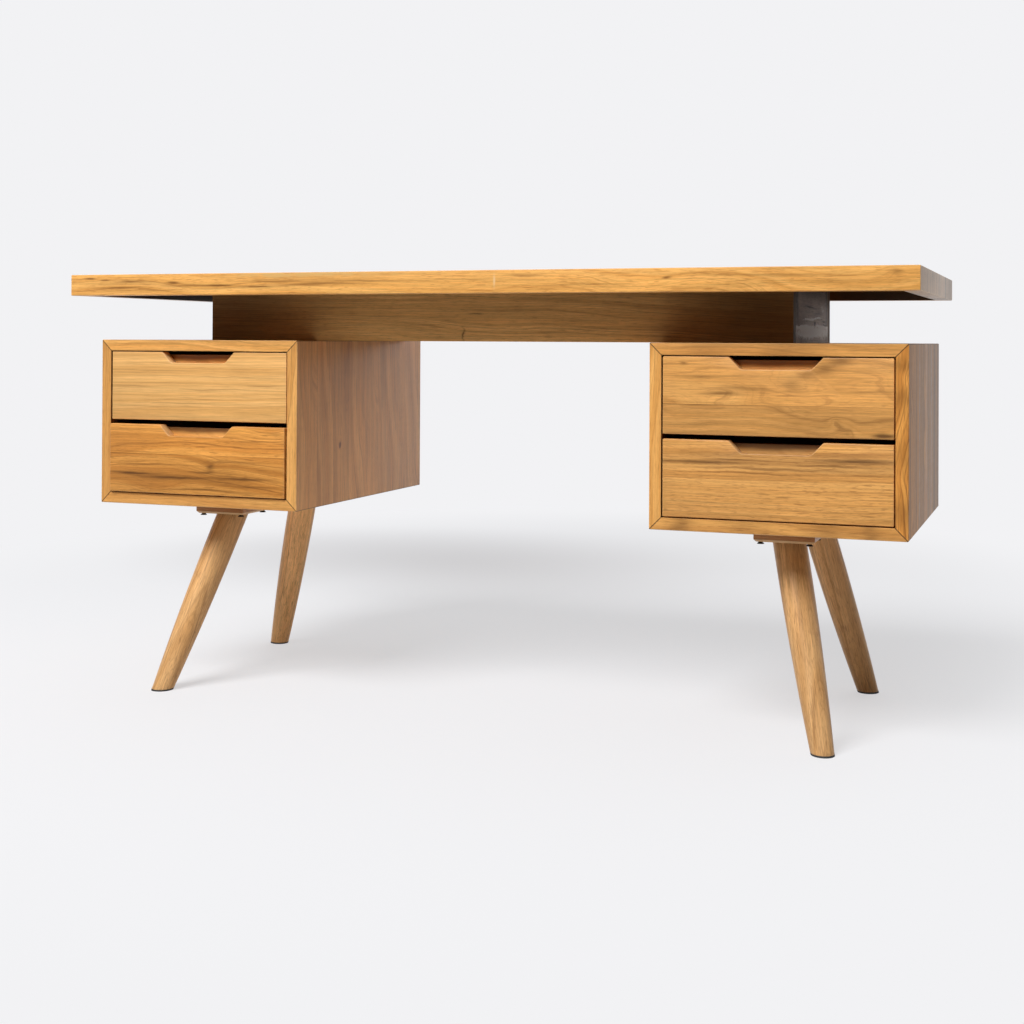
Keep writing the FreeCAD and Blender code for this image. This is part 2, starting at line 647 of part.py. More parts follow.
def along_leg(item, side, sign, row, row_sign, below_top):
    """Places an object on the leg's axis, a distance below the leg's top."""
    share = f"({below_top}) / layout.{row}_length"
    place(
        item,
        f"layout.{side}_mid {sign} dims.{row}_splay * {share}",
        f"layout.{row}_leg_place {row_sign} dims.{row}_rake * {share}",
        f"layout.leg_top - layout.leg_rise * {share}",
    )
    lean(item, row, sign, row_sign)


def legs(plate_holes):
    """Four leaning legs, each cut level at top and foot, on a plate, with a bolt inside and a pad below."""
    reach = "dims.pedestal_lift"
    across = (f"-layout.half_width - {reach}", f"layout.half_width + {reach}")
    along = (f"-layout.half_depth - {reach}", f"layout.half_depth + {reach}")
    leg_heights = block("leg_heights", across, along, ("dims.pad_thickness", "layout.leg_top"))
    pad_heights = block("pad_heights", across, along, (ZERO, "dims.pad_thickness"))
    bolts = []
    pads = []
    for row, row_sign in ROWS:
        for side, sign in SIDES:
            name = f"{row}_{side}"
            axis = (side, sign, row, row_sign)
            turning = leg_turning(name, row)
            along_leg(turning, *axis, f"layout.{row}_length")
            bolt = doc.addObject("Part::Cylinder", f"{name}_bolt")
            bind(bolt, {"Radius": "layout.bolt_radius", "Height": "layout.bolt_length"})
            along_leg(bolt, *axis, "dims.bolt_in_leg")
            bolts.append(bolt)
            bolt_hole = doc.addObject("Part::Cylinder", f"{name}_bolt_hole")
            bind(bolt_hole, {"Radius": "layout.bolt_radius + dims.fit",
                             "Height": "layout.bolt_length + 2 * dims.fit"})
            along_leg(bolt_hole, *axis, "dims.bolt_in_leg + dims.fit")
            blank = common(f"{name}_leg_blank", turning, leg_heights)
            keep(carve(f"{name}_leg_cut", blank, [bolt_hole]), f"{name}_leg")
            plate = leg_plate(name, side, row)
            keep(carve(f"{name}_plate_cut", plate, plate_holes[name] + [bolt_hole]), f"{name}_leg_plate")
            pads.append(common(f"{name}_pad", turning, pad_heights))
    keep(group("bolt_set", bolts), "leg_bolts")
    keep(group("pad_set", pads), "foot_pads")


def check():
    """Stops before anything is written if an object failed or a sub-part has no sound shape."""
    doc.recompute()
    failed = [item.Name for item in doc.Objects if {"Invalid", "Error"} & set(item.State)]
    unsound = [item.Label for item in nodes if item.Shape.isNull() or not item.Shape.isValid()]
    if failed or unsound:
        raise ValueError(f"failed objects: {failed}, unsound sub-parts: {unsound}")


def write():
    """One STEP file for each sub-part, named after its label."""
    os.makedirs("parts", exist_ok=True)
    for item in nodes:
        item.Shape.exportStep(f"parts/{item.Label}.step")


top_tray()
riser()
riser_holes = riser_fixings()
plate_holes = plate_fixings()
for pedestal_side, pedestal_sign in SIDES:
    pedestal(pedestal_side, pedestal_sign, riser_holes[pedestal_side],
             plate_holes[f"front_{pedestal_side}"] + plate_holes[f"rear_{pedestal_side}"])
    runners(pedestal_side)
    for drawer_level in LEVELS:
        drawer(pedestal_side, drawer_level)
legs(plate_holes)
check()
write()
print(f"{len(nodes)} sub-parts written")
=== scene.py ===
"""Looks of the writing desk: eased boards, teak with its grain along each board, fittings, light and camera.

Metres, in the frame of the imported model: +Z up, +X along the width, the sitter's side at -Y.
"""

import json
import math

import bmesh
import bpy
from mathutils import Matrix, Vector

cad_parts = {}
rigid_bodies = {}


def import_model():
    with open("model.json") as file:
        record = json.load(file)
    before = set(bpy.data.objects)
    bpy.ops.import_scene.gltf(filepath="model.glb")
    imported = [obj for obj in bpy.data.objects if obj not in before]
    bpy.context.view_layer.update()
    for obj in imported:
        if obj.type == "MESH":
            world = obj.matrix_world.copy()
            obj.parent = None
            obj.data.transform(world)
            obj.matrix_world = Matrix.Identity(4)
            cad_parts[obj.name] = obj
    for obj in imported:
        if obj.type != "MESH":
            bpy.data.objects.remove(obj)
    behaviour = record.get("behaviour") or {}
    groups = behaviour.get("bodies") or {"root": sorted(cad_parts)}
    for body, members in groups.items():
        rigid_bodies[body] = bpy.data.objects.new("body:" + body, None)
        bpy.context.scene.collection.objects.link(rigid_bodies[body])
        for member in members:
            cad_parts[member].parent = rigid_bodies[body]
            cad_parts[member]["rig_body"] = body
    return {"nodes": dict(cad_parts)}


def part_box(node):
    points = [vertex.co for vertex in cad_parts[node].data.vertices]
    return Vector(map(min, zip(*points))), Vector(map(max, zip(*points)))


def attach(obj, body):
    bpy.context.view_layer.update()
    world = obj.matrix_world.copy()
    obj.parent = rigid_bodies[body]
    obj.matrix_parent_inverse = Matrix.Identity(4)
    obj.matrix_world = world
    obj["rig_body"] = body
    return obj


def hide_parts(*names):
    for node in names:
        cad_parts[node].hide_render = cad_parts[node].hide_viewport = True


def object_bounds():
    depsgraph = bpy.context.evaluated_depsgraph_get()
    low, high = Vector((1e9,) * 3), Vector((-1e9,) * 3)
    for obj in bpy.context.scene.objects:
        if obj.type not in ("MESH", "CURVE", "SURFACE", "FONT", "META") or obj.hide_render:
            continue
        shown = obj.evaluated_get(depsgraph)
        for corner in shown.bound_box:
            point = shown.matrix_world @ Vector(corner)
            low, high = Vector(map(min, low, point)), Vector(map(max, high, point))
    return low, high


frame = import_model()
cad_low, cad_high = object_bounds()
nodes = frame["nodes"]
scene = bpy.context.scene
scene.view_settings.view_transform = "Standard"

SIDES = ("left", "right")
LEVELS = ("upper", "lower")
ROWS = ("front", "rear")
DRAWERS = [f"{level}_{side}" for side in SIDES for level in LEVELS]

X_AXIS = Vector((1, 0, 0))
Y_AXIS = Vector((0, 1, 0))
Z_AXIS = Vector((0, 0, 1))


def add_object(name, data):
    """A new object in the scene."""
    item = bpy.data.objects.new(name, data)
    scene.collection.objects.link(item)
    return item


# Eased edges
ARRIS = 0.0016
JOINT_ARRIS = 0.0008
SMALL_ARRIS = 0.0007
SCREW_ARRIS = 0.00035
ROUND_STEPS = 3
EDGE_STEPS = 2
JOINT_STEPS = 1
ROUND_PROFILE = 0.5
SHARP_ANGLE = math.radians(28)
FLAT_ANGLE = math.radians(0.5)
WELD = 0.00001
EPSILON = 1e-6

# Camera, fitted to the desk's corners in the photograph, with angles in radians
PICTURE_PIXELS = 1024
FOCAL_PIXELS = 1509.1
CENTRE_PIXEL = (515.2, 327.0)
CAMERA_PLACE = Vector((0.9695, -2.6133, 0.6468))
CAMERA_TURN = 0.3552
CAMERA_PITCH = 0.0079
CAMERA_ROLL = 0.0048
UPRIGHT = math.radians(90)
SENSOR_WIDTH = 36
MATRIX_SIZE = 4


def add_camera():
    """An almost level camera in front of the desk, to the sitter's right, with a shifted picture."""
    data = bpy.data.cameras.new("camera")
    data.sensor_width = SENSOR_WIDTH
    data.lens = FOCAL_PIXELS / PICTURE_PIXELS * SENSOR_WIDTH
    data.shift_x = (PICTURE_PIXELS / 2 - CENTRE_PIXEL[0]) / PICTURE_PIXELS
    data.shift_y = (CENTRE_PIXEL[1] - PICTURE_PIXELS / 2) / PICTURE_PIXELS
    camera = add_object("camera", data)
    turn = Matrix.Rotation(CAMERA_TURN, MATRIX_SIZE, "Z")
    pitch = Matrix.Rotation(UPRIGHT + CAMERA_PITCH, MATRIX_SIZE, "X")
    roll = Matrix.Rotation(CAMERA_ROLL, MATRIX_SIZE, "Z")
    camera.matrix_world = Matrix.Translation(CAMERA_PLACE) @ turn @ pitch @ roll
    scene.camera = camera


# Wiring of shader nodes, with the middle of noise and its levels of detail
HALF = 0.5
PLAIN_DETAIL = 1.0
SOFT_DETAIL = 2.0
FINE_DETAIL = 3.0
CRISP_DETAIL = 4.0


class Wiring:
    """Short ways to add nodes to a tree and to join them."""

    def __init__(self, tree):
        self.tree = tree

    def feed(self, socket, value):
        """Links a socket to another one, or sets its value."""
        if isinstance(value, bpy.types.NodeSocket):
            self.tree.links.new(value, socket)
        else:
            socket.default_value = value

    def add(self, kind, settings=None, **inputs):
        """A node with settings and named inputs."""
        node = self.tree.nodes.new(kind)
        for name, value in (settings or {}).items():
            setattr(node, name, value)
        for name, value in inputs.items():
            self.feed(node.inputs[name.replace("_", " ")], value)
        return node

    def math(self, operation, *values):
        """Result of a math node."""
        node = self.tree.nodes.new("ShaderNodeMath")
        node.operation = operation
        for socket, value in zip(node.inputs, values):
            self.feed(socket, value)
        return node.outputs[0]

    def chain(self, operation, values):
        """Result of one operation over two or more values."""
        total = values[0]
        for value in values[1:]:
            total = self.math(operation, total, value)
        return total

    def plus(self, *values):
        """Sum of two or more values."""
        return self.chain("ADD", values)

    def times(self, *values):
        """Product of two or more values."""
        return self.chain("MULTIPLY", values)

    def most(self, *values):
        """Greatest of two or more values."""
        return self.chain("MAXIMUM", values)

    def minus(self, first, second):
        """Difference of two values."""
        return self.math("SUBTRACT", first, second)

    def over(self, first, second):
        """Quotient of two values."""
        return self.math("DIVIDE", first, second)

    def off_middle(self, value):
        """How far a value between 0 and 1 lies above or below the middle."""
        return self.minus(value, HALF)

    def rise(self, value, low, high):
        """Smooth step from 0 at low to 1 at high."""
        node = self.add("ShaderNodeMapRange", {"interpolation_type": "SMOOTHSTEP"})
        for socket, item in zip(node.inputs, (value, low, high, 0.0, 1.0)):
            self.feed(socket, item)
        return node.outputs[0]

    def fall(self, value, low, high):
        """Smooth step from 1 at low to 0 at high."""
        return self.minus(1.0, self.rise(value, low, high))

    def vector(self, operation, first, second, output=0):
        """Result of a vector math node."""
        node = self.tree.nodes.new("ShaderNodeVectorMath")
        node.operation = operation
        self.feed(node.inputs[0], first)
        self.feed(node.inputs[1], second)
        return node.outputs[output]

    def dot(self, first, second):
        """Dot product of two vectors."""
        return self.vector("DOT_PRODUCT", first, second, "Value")

    def noise(self, vector, repeats, detail):
        """Noise with so many repeats per metre on each axis."""
        place = self.vector("MULTIPLY", vector, repeats)
        return self.add("ShaderNodeTexNoise", Vector=place, Scale=1.0, Detail=detail)

    def grain_noise(self, spot, repeats, detail=SOFT_DETAIL):
        """Noise in a board, with its repeats per metre along the grain and across it."""
        along, across = repeats
        return self.noise(spot, (along, across, across), detail).outputs[0]

    def line_noise(self, place, detail=SOFT_DETAIL):
        """Noise along one coordinate."""
        settings = {"noise_dimensions": "1D"}
        return self.add("ShaderNodeTexNoise", settings, W=place, Scale=1.0, Detail=detail).outputs[0]

    def split(self, vector):
        """The three coordinates of a vector."""
        return self.add("ShaderNodeSeparateXYZ", Vector=vector).outputs

    def mix(self, share, first, second):
        """Colour between two colours."""
        node = self.tree.nodes.new("ShaderNodeMix")
        node.data_type = "RGBA"
        for name, value in (("Factor_Float", share), ("A_Color", first), ("B_Color", second)):
            socket = next(item for item in node.inputs if item.identifier == name)
            self.feed(socket, value)
        return next(item for item in node.outputs if item.identifier == "Result_Color")

    def brighten(self, colour, factor):
        """Colour times a number."""
        node = self.add("ShaderNodeVectorMath", {"operation": "SCALE"}, Vector=colour, Scale=factor)
        return node.outputs[0]


def rgba(colour):
    """Colour with full opacity."""
    return (*colour, 1.0)


def bare_wiring(owner):
    """Wiring of a material or a world without its first nodes."""
    owner.use_nodes = True
    owner.node_tree.nodes.clear()
    return Wiring(owner.node_tree)


# Teak: growth rings round a distant heart, cut by the board, with fibres and pores along the grain
NO_PLANKS = 100.0
GRAIN_TONES = ("Light", "Mid", "Dark")
GRAIN_VALUES = {
    "Heart across": 0.05, "Heart depth": 0.30, "Lean across": 0.05, "Lean depth": 0.05, "Wave": 0.012,
    "Ring": 0.005, "Contrast": 0.50, "Pores": 0.35, "Flecks": 0.30, "Cloud": 0.22, "Streak": 0.40,
    "Plank": NO_PLANKS, "Joint": -NO_PLANKS / 2, "Plank spread": 0.25, "Figure": 0.0, "Stain": 0.0,
}
GRAIN_OUTPUTS = {"Color": "NodeSocketColor", "Height": "NodeSocketFloat", "Roughness": "NodeSocketFloat"}

# Planks glued edge to edge
PLANK_DRAW = 0.37
PLANK_SHIFT = 3.7
PLANK_JOINT = (0.0001, 0.0007)
HEART_SPREAD_ACROSS = 0.02
HEART_SPREAD_DEPTH = 0.03

# Rings, as repeats per metre along and across the grain, repeats per ring, and the steps of noise that show
WAVE_ACROSS = (2.6, 9.0)
WAVE_DEPTH = (3.4, 7.0)
WAVE_GAIN = 2.0
RIPPLE = (16.0, 90.0)
RIPPLE_SHARE = 0.10
PATCHES = (7.0, 30.0)
PATCH_STEP = (0.32, 0.62)
BROAD_RINGS = 0.31
BROAD_STEP = (0.32, 0.68)
FINE_RINGS = 1.15
FINE_STEP = (0.50, 0.76)
FINE_LEAST_SHARE = 0.35
HAIR_RINGS = 4.3
HAIR_OFFSET = 9.1
HAIR_STEP = (0.50, 0.78)
HAIR_SHARE = 0.40

# Fibres, pores and clouds, as repeats per metre along and across the grain
FIBRES = (26.0, 900.0)
FIBRE_SHARE = 0.60
STRANDS = (5.0, 460.0)
STRAND_SHARE = 0.66
STREAKS = (5.0, 130.0)
PORES = (70.0, 1300.0)
PORE_STEP = (0.58, 0.70)
FLECKS = (38.0, 480.0)
FLECK_STEP = (0.57, 0.70)
FLECK_LEAST_SHARE = 0.3
CLOUDS = (5.0, 17.0)
CLOUD_GAIN = 2.5
JOINT_SHARE = 0.45

# Staining, which also carries painted shade, and the surface
STAIN_AND_SHADE_LEAST_SHARE = 0.35
STAIN_AND_SHADE_STRAND_SHARE = 0.7
STAIN_AND_SHADE_STREAK_SHARE = 0.6
STAIN_AND_SHADE_TOP_SHARE = 0.9
STAIN_AND_SHADE_TONE_SHARE = 0.42
HEIGHT_SHARES = {"fibre": 0.25, "pore": -0.7, "late": 0.15, "joint": -1.0}
ROUGHNESS = 0.27
ROUGHNESS_SHARES = {"pore": 0.18, "fibre": 0.10, "cloud": 0.06}


def teak_group():
    """Node group that turns board coordinates into the colour, height and roughness of oiled teak."""
    tree = bpy.data.node_groups.new("teak_grain", "ShaderNodeTree")
    new_socket = tree.interface.new_socket
    new_socket("Coord", in_out="INPUT", socket_type="NodeSocketVector")
    for name in GRAIN_TONES:
        new_socket(name, in_out="INPUT", socket_type="NodeSocketColor")
    for name, value in GRAIN_VALUES.items():
        new_socket(name, in_out="INPUT", socket_type="NodeSocketFloat").default_value = value
    for name, kind in GRAIN_OUTPUTS.items():
        new_socket(name, in_out="OUTPUT", socket_type=kind)
    wire = Wiring(tree)
    source = wire.add("NodeGroupInput").outputs
    plank = teak_planks(wire, source)
    late, broad, patchy = teak_rings(wire, source, plank)
    spot = plank["spot"]
    fibre = wire.grain_noise(spot, FIBRES, FINE_DETAIL)
    strand = wire.grain_noise(spot, STRANDS)
    streak = wire.grain_noise(spot, STREAKS, FINE_DETAIL)
    cloud = wire.grain_noise(spot, CLOUDS, FINE_DETAIL)
    pore = wire.rise(wire.grain_noise(spot, PORES, PLAIN_DETAIL), *PORE_STEP)
    fleck = wire.rise(wire.grain_noise(spot, FLECKS, PLAIN_DETAIL), *FLECK_STEP)
    fleck = wire.times(fleck, least(wire, FLECK_LEAST_SHARE, patchy))

    tone = wire.mix(broad, source["Light"], source["Mid"])
    tone = wire.mix(wire.times(late, source["Contrast"]), tone, source["Dark"])
    dots = wire.most(wire.times(pore, source["Pores"]), wire.times(fleck, source["Flecks"]))
    tone = wire.mix(dots, tone, source["Dark"])
    lift = wire.plus(
        1.0,
        wire.times(wire.off_middle(fibre), FIBRE_SHARE),
        wire.times(wire.off_middle(strand), STRAND_SHARE),
        wire.times(wire.off_middle(streak), source["Streak"]),
        wire.times(wire.off_middle(cloud), source["Cloud"], CLOUD_GAIN),
        wire.times(wire.off_middle(plank["draw"][2]), source["Plank spread"]),
        wire.times(plank["joint"], -JOINT_SHARE),
    )
    tone = wire.brighten(tone, lift)
    uneven = wire.plus(
        STAIN_AND_SHADE_LEAST_SHARE, wire.times(strand, STAIN_AND_SHADE_STRAND_SHARE), wire.times(streak, STAIN_AND_SHADE_STREAK_SHARE))
    # Dark stain marks, and painted shade where a mark stands for shadow
    stain_and_shade = wire.math("MINIMUM", wire.times(source["Stain"], uneven), STAIN_AND_SHADE_TOP_SHARE)
    tone = wire.mix(stain_and_shade, tone, wire.brighten(source["Dark"], STAIN_AND_SHADE_TONE_SHARE))

    layers = {"fibre": fibre, "pore": pore, "late": late, "joint": plank["joint"], "cloud": cloud}
    height = wire.plus(*[wire.times(layers[name], share) for name, share in HEIGHT_SHARES.items()])
    rough = [wire.times(layers[name], share) for name, share in ROUGHNESS_SHARES.items()]
    wire.add("NodeGroupOutput", Color=tone, Height=height, Roughness=wire.plus(ROUGHNESS, *rough))
    return tree


def least(wire, share, value):
    """A value lifted so that it never falls below a share of its top."""
    return wire.plus(share, wire.times(value, 1.0 - share))


def teak_planks(wire, source):
    """Planks glued edge to edge, each from another tree: place on the plank, draw of chance and joints."""
    along, across, depth = wire.split(source["Coord"])
    from_joint = wire.minus(across, source["Joint"])
    number = wire.math("FLOOR", wire.over(from_joint, source["Plank"]))
    settings = {"noise_dimensions": "1D"}
    chance = wire.add("ShaderNodeTexWhiteNoise", settings, W=wire.plus(number, PLANK_DRAW))
    on_plank = wire.minus(from_joint, wire.times(wire.plus(number, HALF), source["Plank"]))
    to_joint = wire.minus(wire.times(source["Plank"], HALF), wire.math("ABSOLUTE", on_plank))
    shift = wire.times(number, PLANK_SHIFT)
    place = {"X": wire.plus(along, shift), "Y": wire.plus(on_plank, shift), "Z": depth}
    return {
        "along": along,
        "across": on_plank,
        "depth": depth,
        "draw": wire.split(chance.outputs["Color"]),
        "joint": wire.fall(to_joint, *PLANK_JOINT),
        "spot": wire.add("ShaderNodeCombineXYZ", **place).outputs[0],
    }


def teak_rings(wire, source, plank):
    """Rings round the heart of the tree, bent by slow waves: late wood, broad tones and patches."""
    spot = plank["spot"]
    bent = wire.times(source["Wave"], WAVE_GAIN)
    offsets = []
    for way, draw, spread, wave in (
        ("across", wire.off_middle(plank["draw"][0]), HEART_SPREAD_ACROSS, WAVE_ACROSS),
        ("depth", plank["draw"][1], HEART_SPREAD_DEPTH, WAVE_DEPTH),
    ):
        heart = wire.plus(source[f"Heart {way}"], wire.times(draw, spread))
        lean = wire.times(source[f"Lean {way}"], plank["along"])
        swing = wire.times(wire.off_middle(wire.grain_noise(spot, wave, PLAIN_DETAIL)), bent)
        offsets.append(wire.plus(wire.minus(plank[way], heart), lean, swing))
    radius = wire.math("SQRT", wire.plus(*[wire.times(item, item) for item in offsets]))
    ripple = wire.off_middle(wire.grain_noise(spot, RIPPLE, PLAIN_DETAIL))
    radius = wire.plus(radius, wire.times(ripple, source["Wave"], RIPPLE_SHARE))
    field = wire.plus(wire.over(radius, source["Ring"]), source["Figure"])
    broad = wire.rise(wire.line_noise(wire.times(field, BROAD_RINGS)), *BROAD_STEP)
    fine = wire.rise(wire.line_noise(wire.times(field, FINE_RINGS), FINE_DETAIL), *FINE_STEP)
    hair = wire.rise(wire.line_noise(wire.plus(wire.times(field, HAIR_RINGS), HAIR_OFFSET)), *HAIR_STEP)
    patchy = wire.rise(wire.grain_noise(spot, PATCHES), *PATCH_STEP)
    late = wire.plus(wire.times(fine, least(wire, FINE_LEAST_SHARE, patchy)), wire.times(hair, HAIR_SHARE))
    return wire.math("MINIMUM", late, 1.0), broad, patchy


TEAK = teak_group()

# Tones of the boards: light, mid and dark
GOLD = ((0.71, 0.405, 0.144), (0.63, 0.339, 0.109), (0.40, 0.182, 0.052))
EDGE = ((0.86, 0.455, 0.130), (0.77, 0.375, 0.094), (0.42, 0.165, 0.035))
HONEY = ((0.77, 0.405, 0.120), (0.66, 0.315, 0.080), (0.34, 0.132, 0.030))
CARAMEL = ((0.67, 0.335, 0.093), (0.56, 0.260, 0.067), (0.29, 0.115, 0.028))
AMBER = ((0.73, 0.375, 0.112), (0.61, 0.290, 0.078), (0.27, 0.112, 0.032))
RUSSET = ((0.72, 0.325, 0.072), (0.55, 0.225, 0.044), (0.22, 0.080, 0.016))
CHESTNUT = ((0.88, 0.480, 0.165), (0.76, 0.395, 0.128), (0.36, 0.170, 0.050))
UMBER = ((0.40, 0.190, 0.070), (0.30, 0.135, 0.048), (0.14, 0.058, 0.022))
DRIFT = ((0.66, 0.455, 0.290), (0.55, 0.360, 0.222), (0.29, 0.172, 0.096))
ASH = ((0.54, 0.432, 0.378), (0.37, 0.285, 0.244), (0.12, 0.088, 0.075))
LEG = ((0.62, 0.360, 0.155), (0.51, 0.275, 0.105), (0.19, 0.084, 0.027))
PALE = ((0.66, 0.430, 0.220), (0.58, 0.360, 0.170), (0.36, 0.190, 0.075))

# Wear, mitre lines, painted shade and sheen on faces, and smears
WORN = (0.86, 0.62, 0.34)
WORN_STEP = (0.80, 0.985)
WORN_SHARE = 0.35
MITRE_TONE = (0.04, 0.02, 0.008)
MITRE_LINE = (0.0004, 0.0011)
MITRE_SHARE = 0.85
# Painted shade on the top's hollow underside, the insides of the pedestal walls and the rails' end faces;
# painted shade and painted sheen on the pedestals' outward sides
PAINTED_SHADE_TONE = (0.07, 0.034, 0.016)
SIDE_SHADE_TONE = (0.13, 0.095, 0.072)
SIDE_SHEEN_TONE = (0.83, 0.53, 0.58)
SIDE_SHADE_SHARE = 0.4
SIDE_SHEEN_SHARE = 0.12
FACE_STEP = (0.90, 0.99)
CHALK = (0.66, 0.62, 0.58)
LIME = (0.95, 0.92, 0.90)
SAPWOOD = (0.64, 0.380, 0.130)
SMEAR_REPEATS = (60.0, 160.0)
SMEAR_STEP = (0.15, 0.75)

# Disorder of marks, and the surface
SEED_STEP = 13.7
RAGGED_REPEATS = ((9.0, 34.0, 34.0), (30.0, 120.0, 120.0))
RAGGED_REACHES = ((0.030, 0.007, 0.007), (0.012, 0.003, 0.003))
BUMP_DEPTH = 0.0003
BUMP_STRENGTH = 0.22
GLOSS_LEVEL = 0.22


def shade(tones, share):
    """The tones of a darker or a paler board, also used for painted light."""
    return tuple(tuple(value * share for value in tone) for tone in tones)


def new_material(name):
    """A material, its wiring and its surface shader."""
    material = bpy.data.materials.new(name)
    material.use_nodes = True
    return material, Wiring(material.node_tree), material.node_tree.nodes["Principled BSDF"]


def board_place(wire, coords, node, along, across):
    """Coordinates from the middle of a board: along the grain, across it and into its depth."""
    low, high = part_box(node)
    turn = Matrix((along, across, along.cross(across)))
    settings = {"Location": turn @ -((low + high) / 2), "Rotation": turn.to_euler("XYZ")}
    return wire.add("ShaderNodeMapping", Vector=coords, **settings).outputs[0]


def board_grain(wire, local, tones, grain):
    """The teak group, with the tones and the grain of one board."""
    group = wire.add("ShaderNodeGroup", {"node_tree": TEAK}, Coord=local)
    for name, tone in zip(GRAIN_TONES, tones):
        group.inputs[name].default_value = rgba(tone)
    if "plank" in grain:
        grain = {"joint": -grain["plank"] / 2, **grain}
    for name, value in grain.items():
        group.inputs[name.replace("_", " ").capitalize()].default_value = value
    return group


def teak(node, along, across, tones, seed=0, shade_share=1.0, figures=(), stains=(), smears=(),
         smear_tone=CHALK, ticks=(), tints=(), mitres=(), worn_share=WORN_SHARE, matt=0.0, **grain):
    """Teak for one board, with knots and swirls (figures), dark stain marks and painted shade, pale smears
    and straight pale ticks.

    A mark is its place along and across, its half length and half width, and a strength: for a figure the
    rings that it adds. All are measured from the middle of the board. A tint of painted face light is the
    outward direction of a face, its tone and a share: painted shade or painted sheen on that face. A mitre
    is a point and the normal of the plane where the next board begins. The shade share makes the tones
    darker or paler, for a board's own tone or for painted light, the worn share is the wear on the edges of
    a square board, and matt adds to the roughness.
    """
    material, wire, shader = new_material(node)
    coords = wire.add("ShaderNodeTexCoord").outputs["Object"]
    local = board_place(wire, coords, node, along, across)
    group = board_grain(wire, local, shade(tones, shade_share), grain)
    place = wire.split(ragged(wire, local))
    wire.feed(group.inputs["Figure"], wire.plus(SEED_STEP * seed, *marks(wire, place, figures)))
    wire.feed(group.inputs["Stain"], wire.plus(0.0, *marks(wire, place, stains)))
    colour = group.outputs["Color"]
    if smears:
        patchy = wire.grain_noise(local, SMEAR_REPEATS, CRISP_DETAIL)
        cover = wire.times(wire.plus(*marks(wire, place, smears)), patchy)
        colour = wire.mix(wire.rise(cover, *SMEAR_STEP), colour, rgba(smear_tone))
    if ticks:
        colour = wire.mix(wire.plus(*marks(wire, wire.split(local), ticks)), colour, rgba(WORN))
    normal = wire.add("ShaderNodeNewGeometry").outputs["True Normal"]
    # Painted shade or painted sheen on faces, by their outward direction
    for way, tone, share in tints:
        facing = wire.rise(wire.dot(normal, way), *FACE_STEP)
        colour = wire.mix(wire.times(facing, share), colour, rgba(tone))
    if worn_share:
        colour = wear(wire, colour, normal, worn_share)
    for point, outward in mitres:
        colour = mitre_line(wire, colour, coords, point, outward)
    wire.feed(shader.inputs["Base Color"], colour)
    wire.feed(shader.inputs["Roughness"], wire.plus(group.outputs["Roughness"], matt))
    shader.inputs["Specular IOR Level"].default_value = GLOSS_LEVEL
    add_bump(wire, shader, group.outputs["Height"], BUMP_DEPTH, BUMP_STRENGTH)
    return material


def add_bump(wire, shader, height, depth, strength):
    """Small heights on a surface."""
    bump = wire.add("ShaderNodeBump", Height=height, Distance=depth, Strength=strength)
    wire.feed(shader.inputs["Normal"], bump.outputs[0])


def ragged(wire, local):
    """Board coordinates with a small disorder, for marks with uneven rims."""
    for repeats, reaches in zip(RAGGED_REPEATS, RAGGED_REACHES):
        noise = wire.noise(local, repeats, PLAIN_DETAIL).outputs["Color"]
        offset = wire.vector("SUBTRACT", noise, (HALF, HALF, HALF))
        local = wire.vector("ADD", local, wire.vector("MULTIPLY", offset, reaches))
    return local


def marks(wire, place, shapes):
    """Smooth hills at places on the board."""
    hills = []
    for along, across, half_length, half_width, strength in shapes:
        first = wire.over(wire.minus(place[0], along), half_length)
        second = wire.over(wire.minus(place[1], across), half_width)
        distance = wire.plus(wire.times(first, first), wire.times(second, second))
        hills.append(wire.times(wire.math("EXPONENT", wire.times(distance, -1.0)), strength))
    return hills


def wear(wire, colour, normal, share):
    """Paler wood on eased edges, where the oil is rubbed off."""
    sides = [wire.math("ABSOLUTE", item) for item in wire.split(normal)]
    edge = wire.fall(wire.most(*sides), *WORN_STEP)
    return wire.mix(wire.times(edge, share), colour, rgba(WORN))


def mitre_line(wire, colour, coords, point, outward):
    """A dark line along a mitre, where dust and oil gather."""
    away = wire.math("ABSOLUTE", wire.minus(wire.dot(coords, outward), point.dot(outward)))
    line = wire.fall(away, *MITRE_LINE)
    return wire.mix(wire.times(line, MITRE_SHARE), colour, rgba(MITRE_TONE))


# Plain materials
SPECK_REPEATS = (900.0, 900.0)
SPECK_SHARE = 0.35
SPECK_ROUGHNESS = 0.10
SPECK_DEPTH = 0.0001
SPECK_STRENGTH = 0.3


def plain(name, colour, roughness, metallic=0.0):
    """A fine-grained finish such as rubber or coated steel."""
    material, wire, shader = new_material(name)
    shader.inputs["Metallic"].default_value = metallic
    coords = wire.add("ShaderNodeTexCoord").outputs["Object"]
    speck = wire.grain_noise(coords, SPECK_REPEATS, FINE_DETAIL)
    around = wire.off_middle(speck)
    lift = wire.plus(1.0, wire.times(around, SPECK_SHARE))
    wire.feed(shader.inputs["Base Color"], wire.brighten(colour, lift))
    wire.feed(shader.inputs["Roughness"], wire.plus(roughness, wire.times(around, SPECK_ROUGHNESS)))
    add_bump(wire, shader, speck, SPECK_DEPTH, SPECK_STRENGTH)
    return material


# Boards of mitred cases, cut from one eased case so that rounded edges run on across each mitre
def eased_case(low, high):
    """Box with rounded edges."""
    shape = bmesh.new()
    bmesh.ops.create_cube(shape, size=1)
    place = Matrix.Translation((low + high) / 2) @ Matrix.Diagonal((*(high - low), 1))
    bmesh.ops.transform(shape, matrix=place, verts=shape.verts)
    rounding = {"offset": ARRIS, "segments": ROUND_STEPS, "profile": ROUND_PROFILE, "affect": "EDGES"}
    bmesh.ops.bevel(shape, geom=shape.edges[:], **rounding)
    return shape


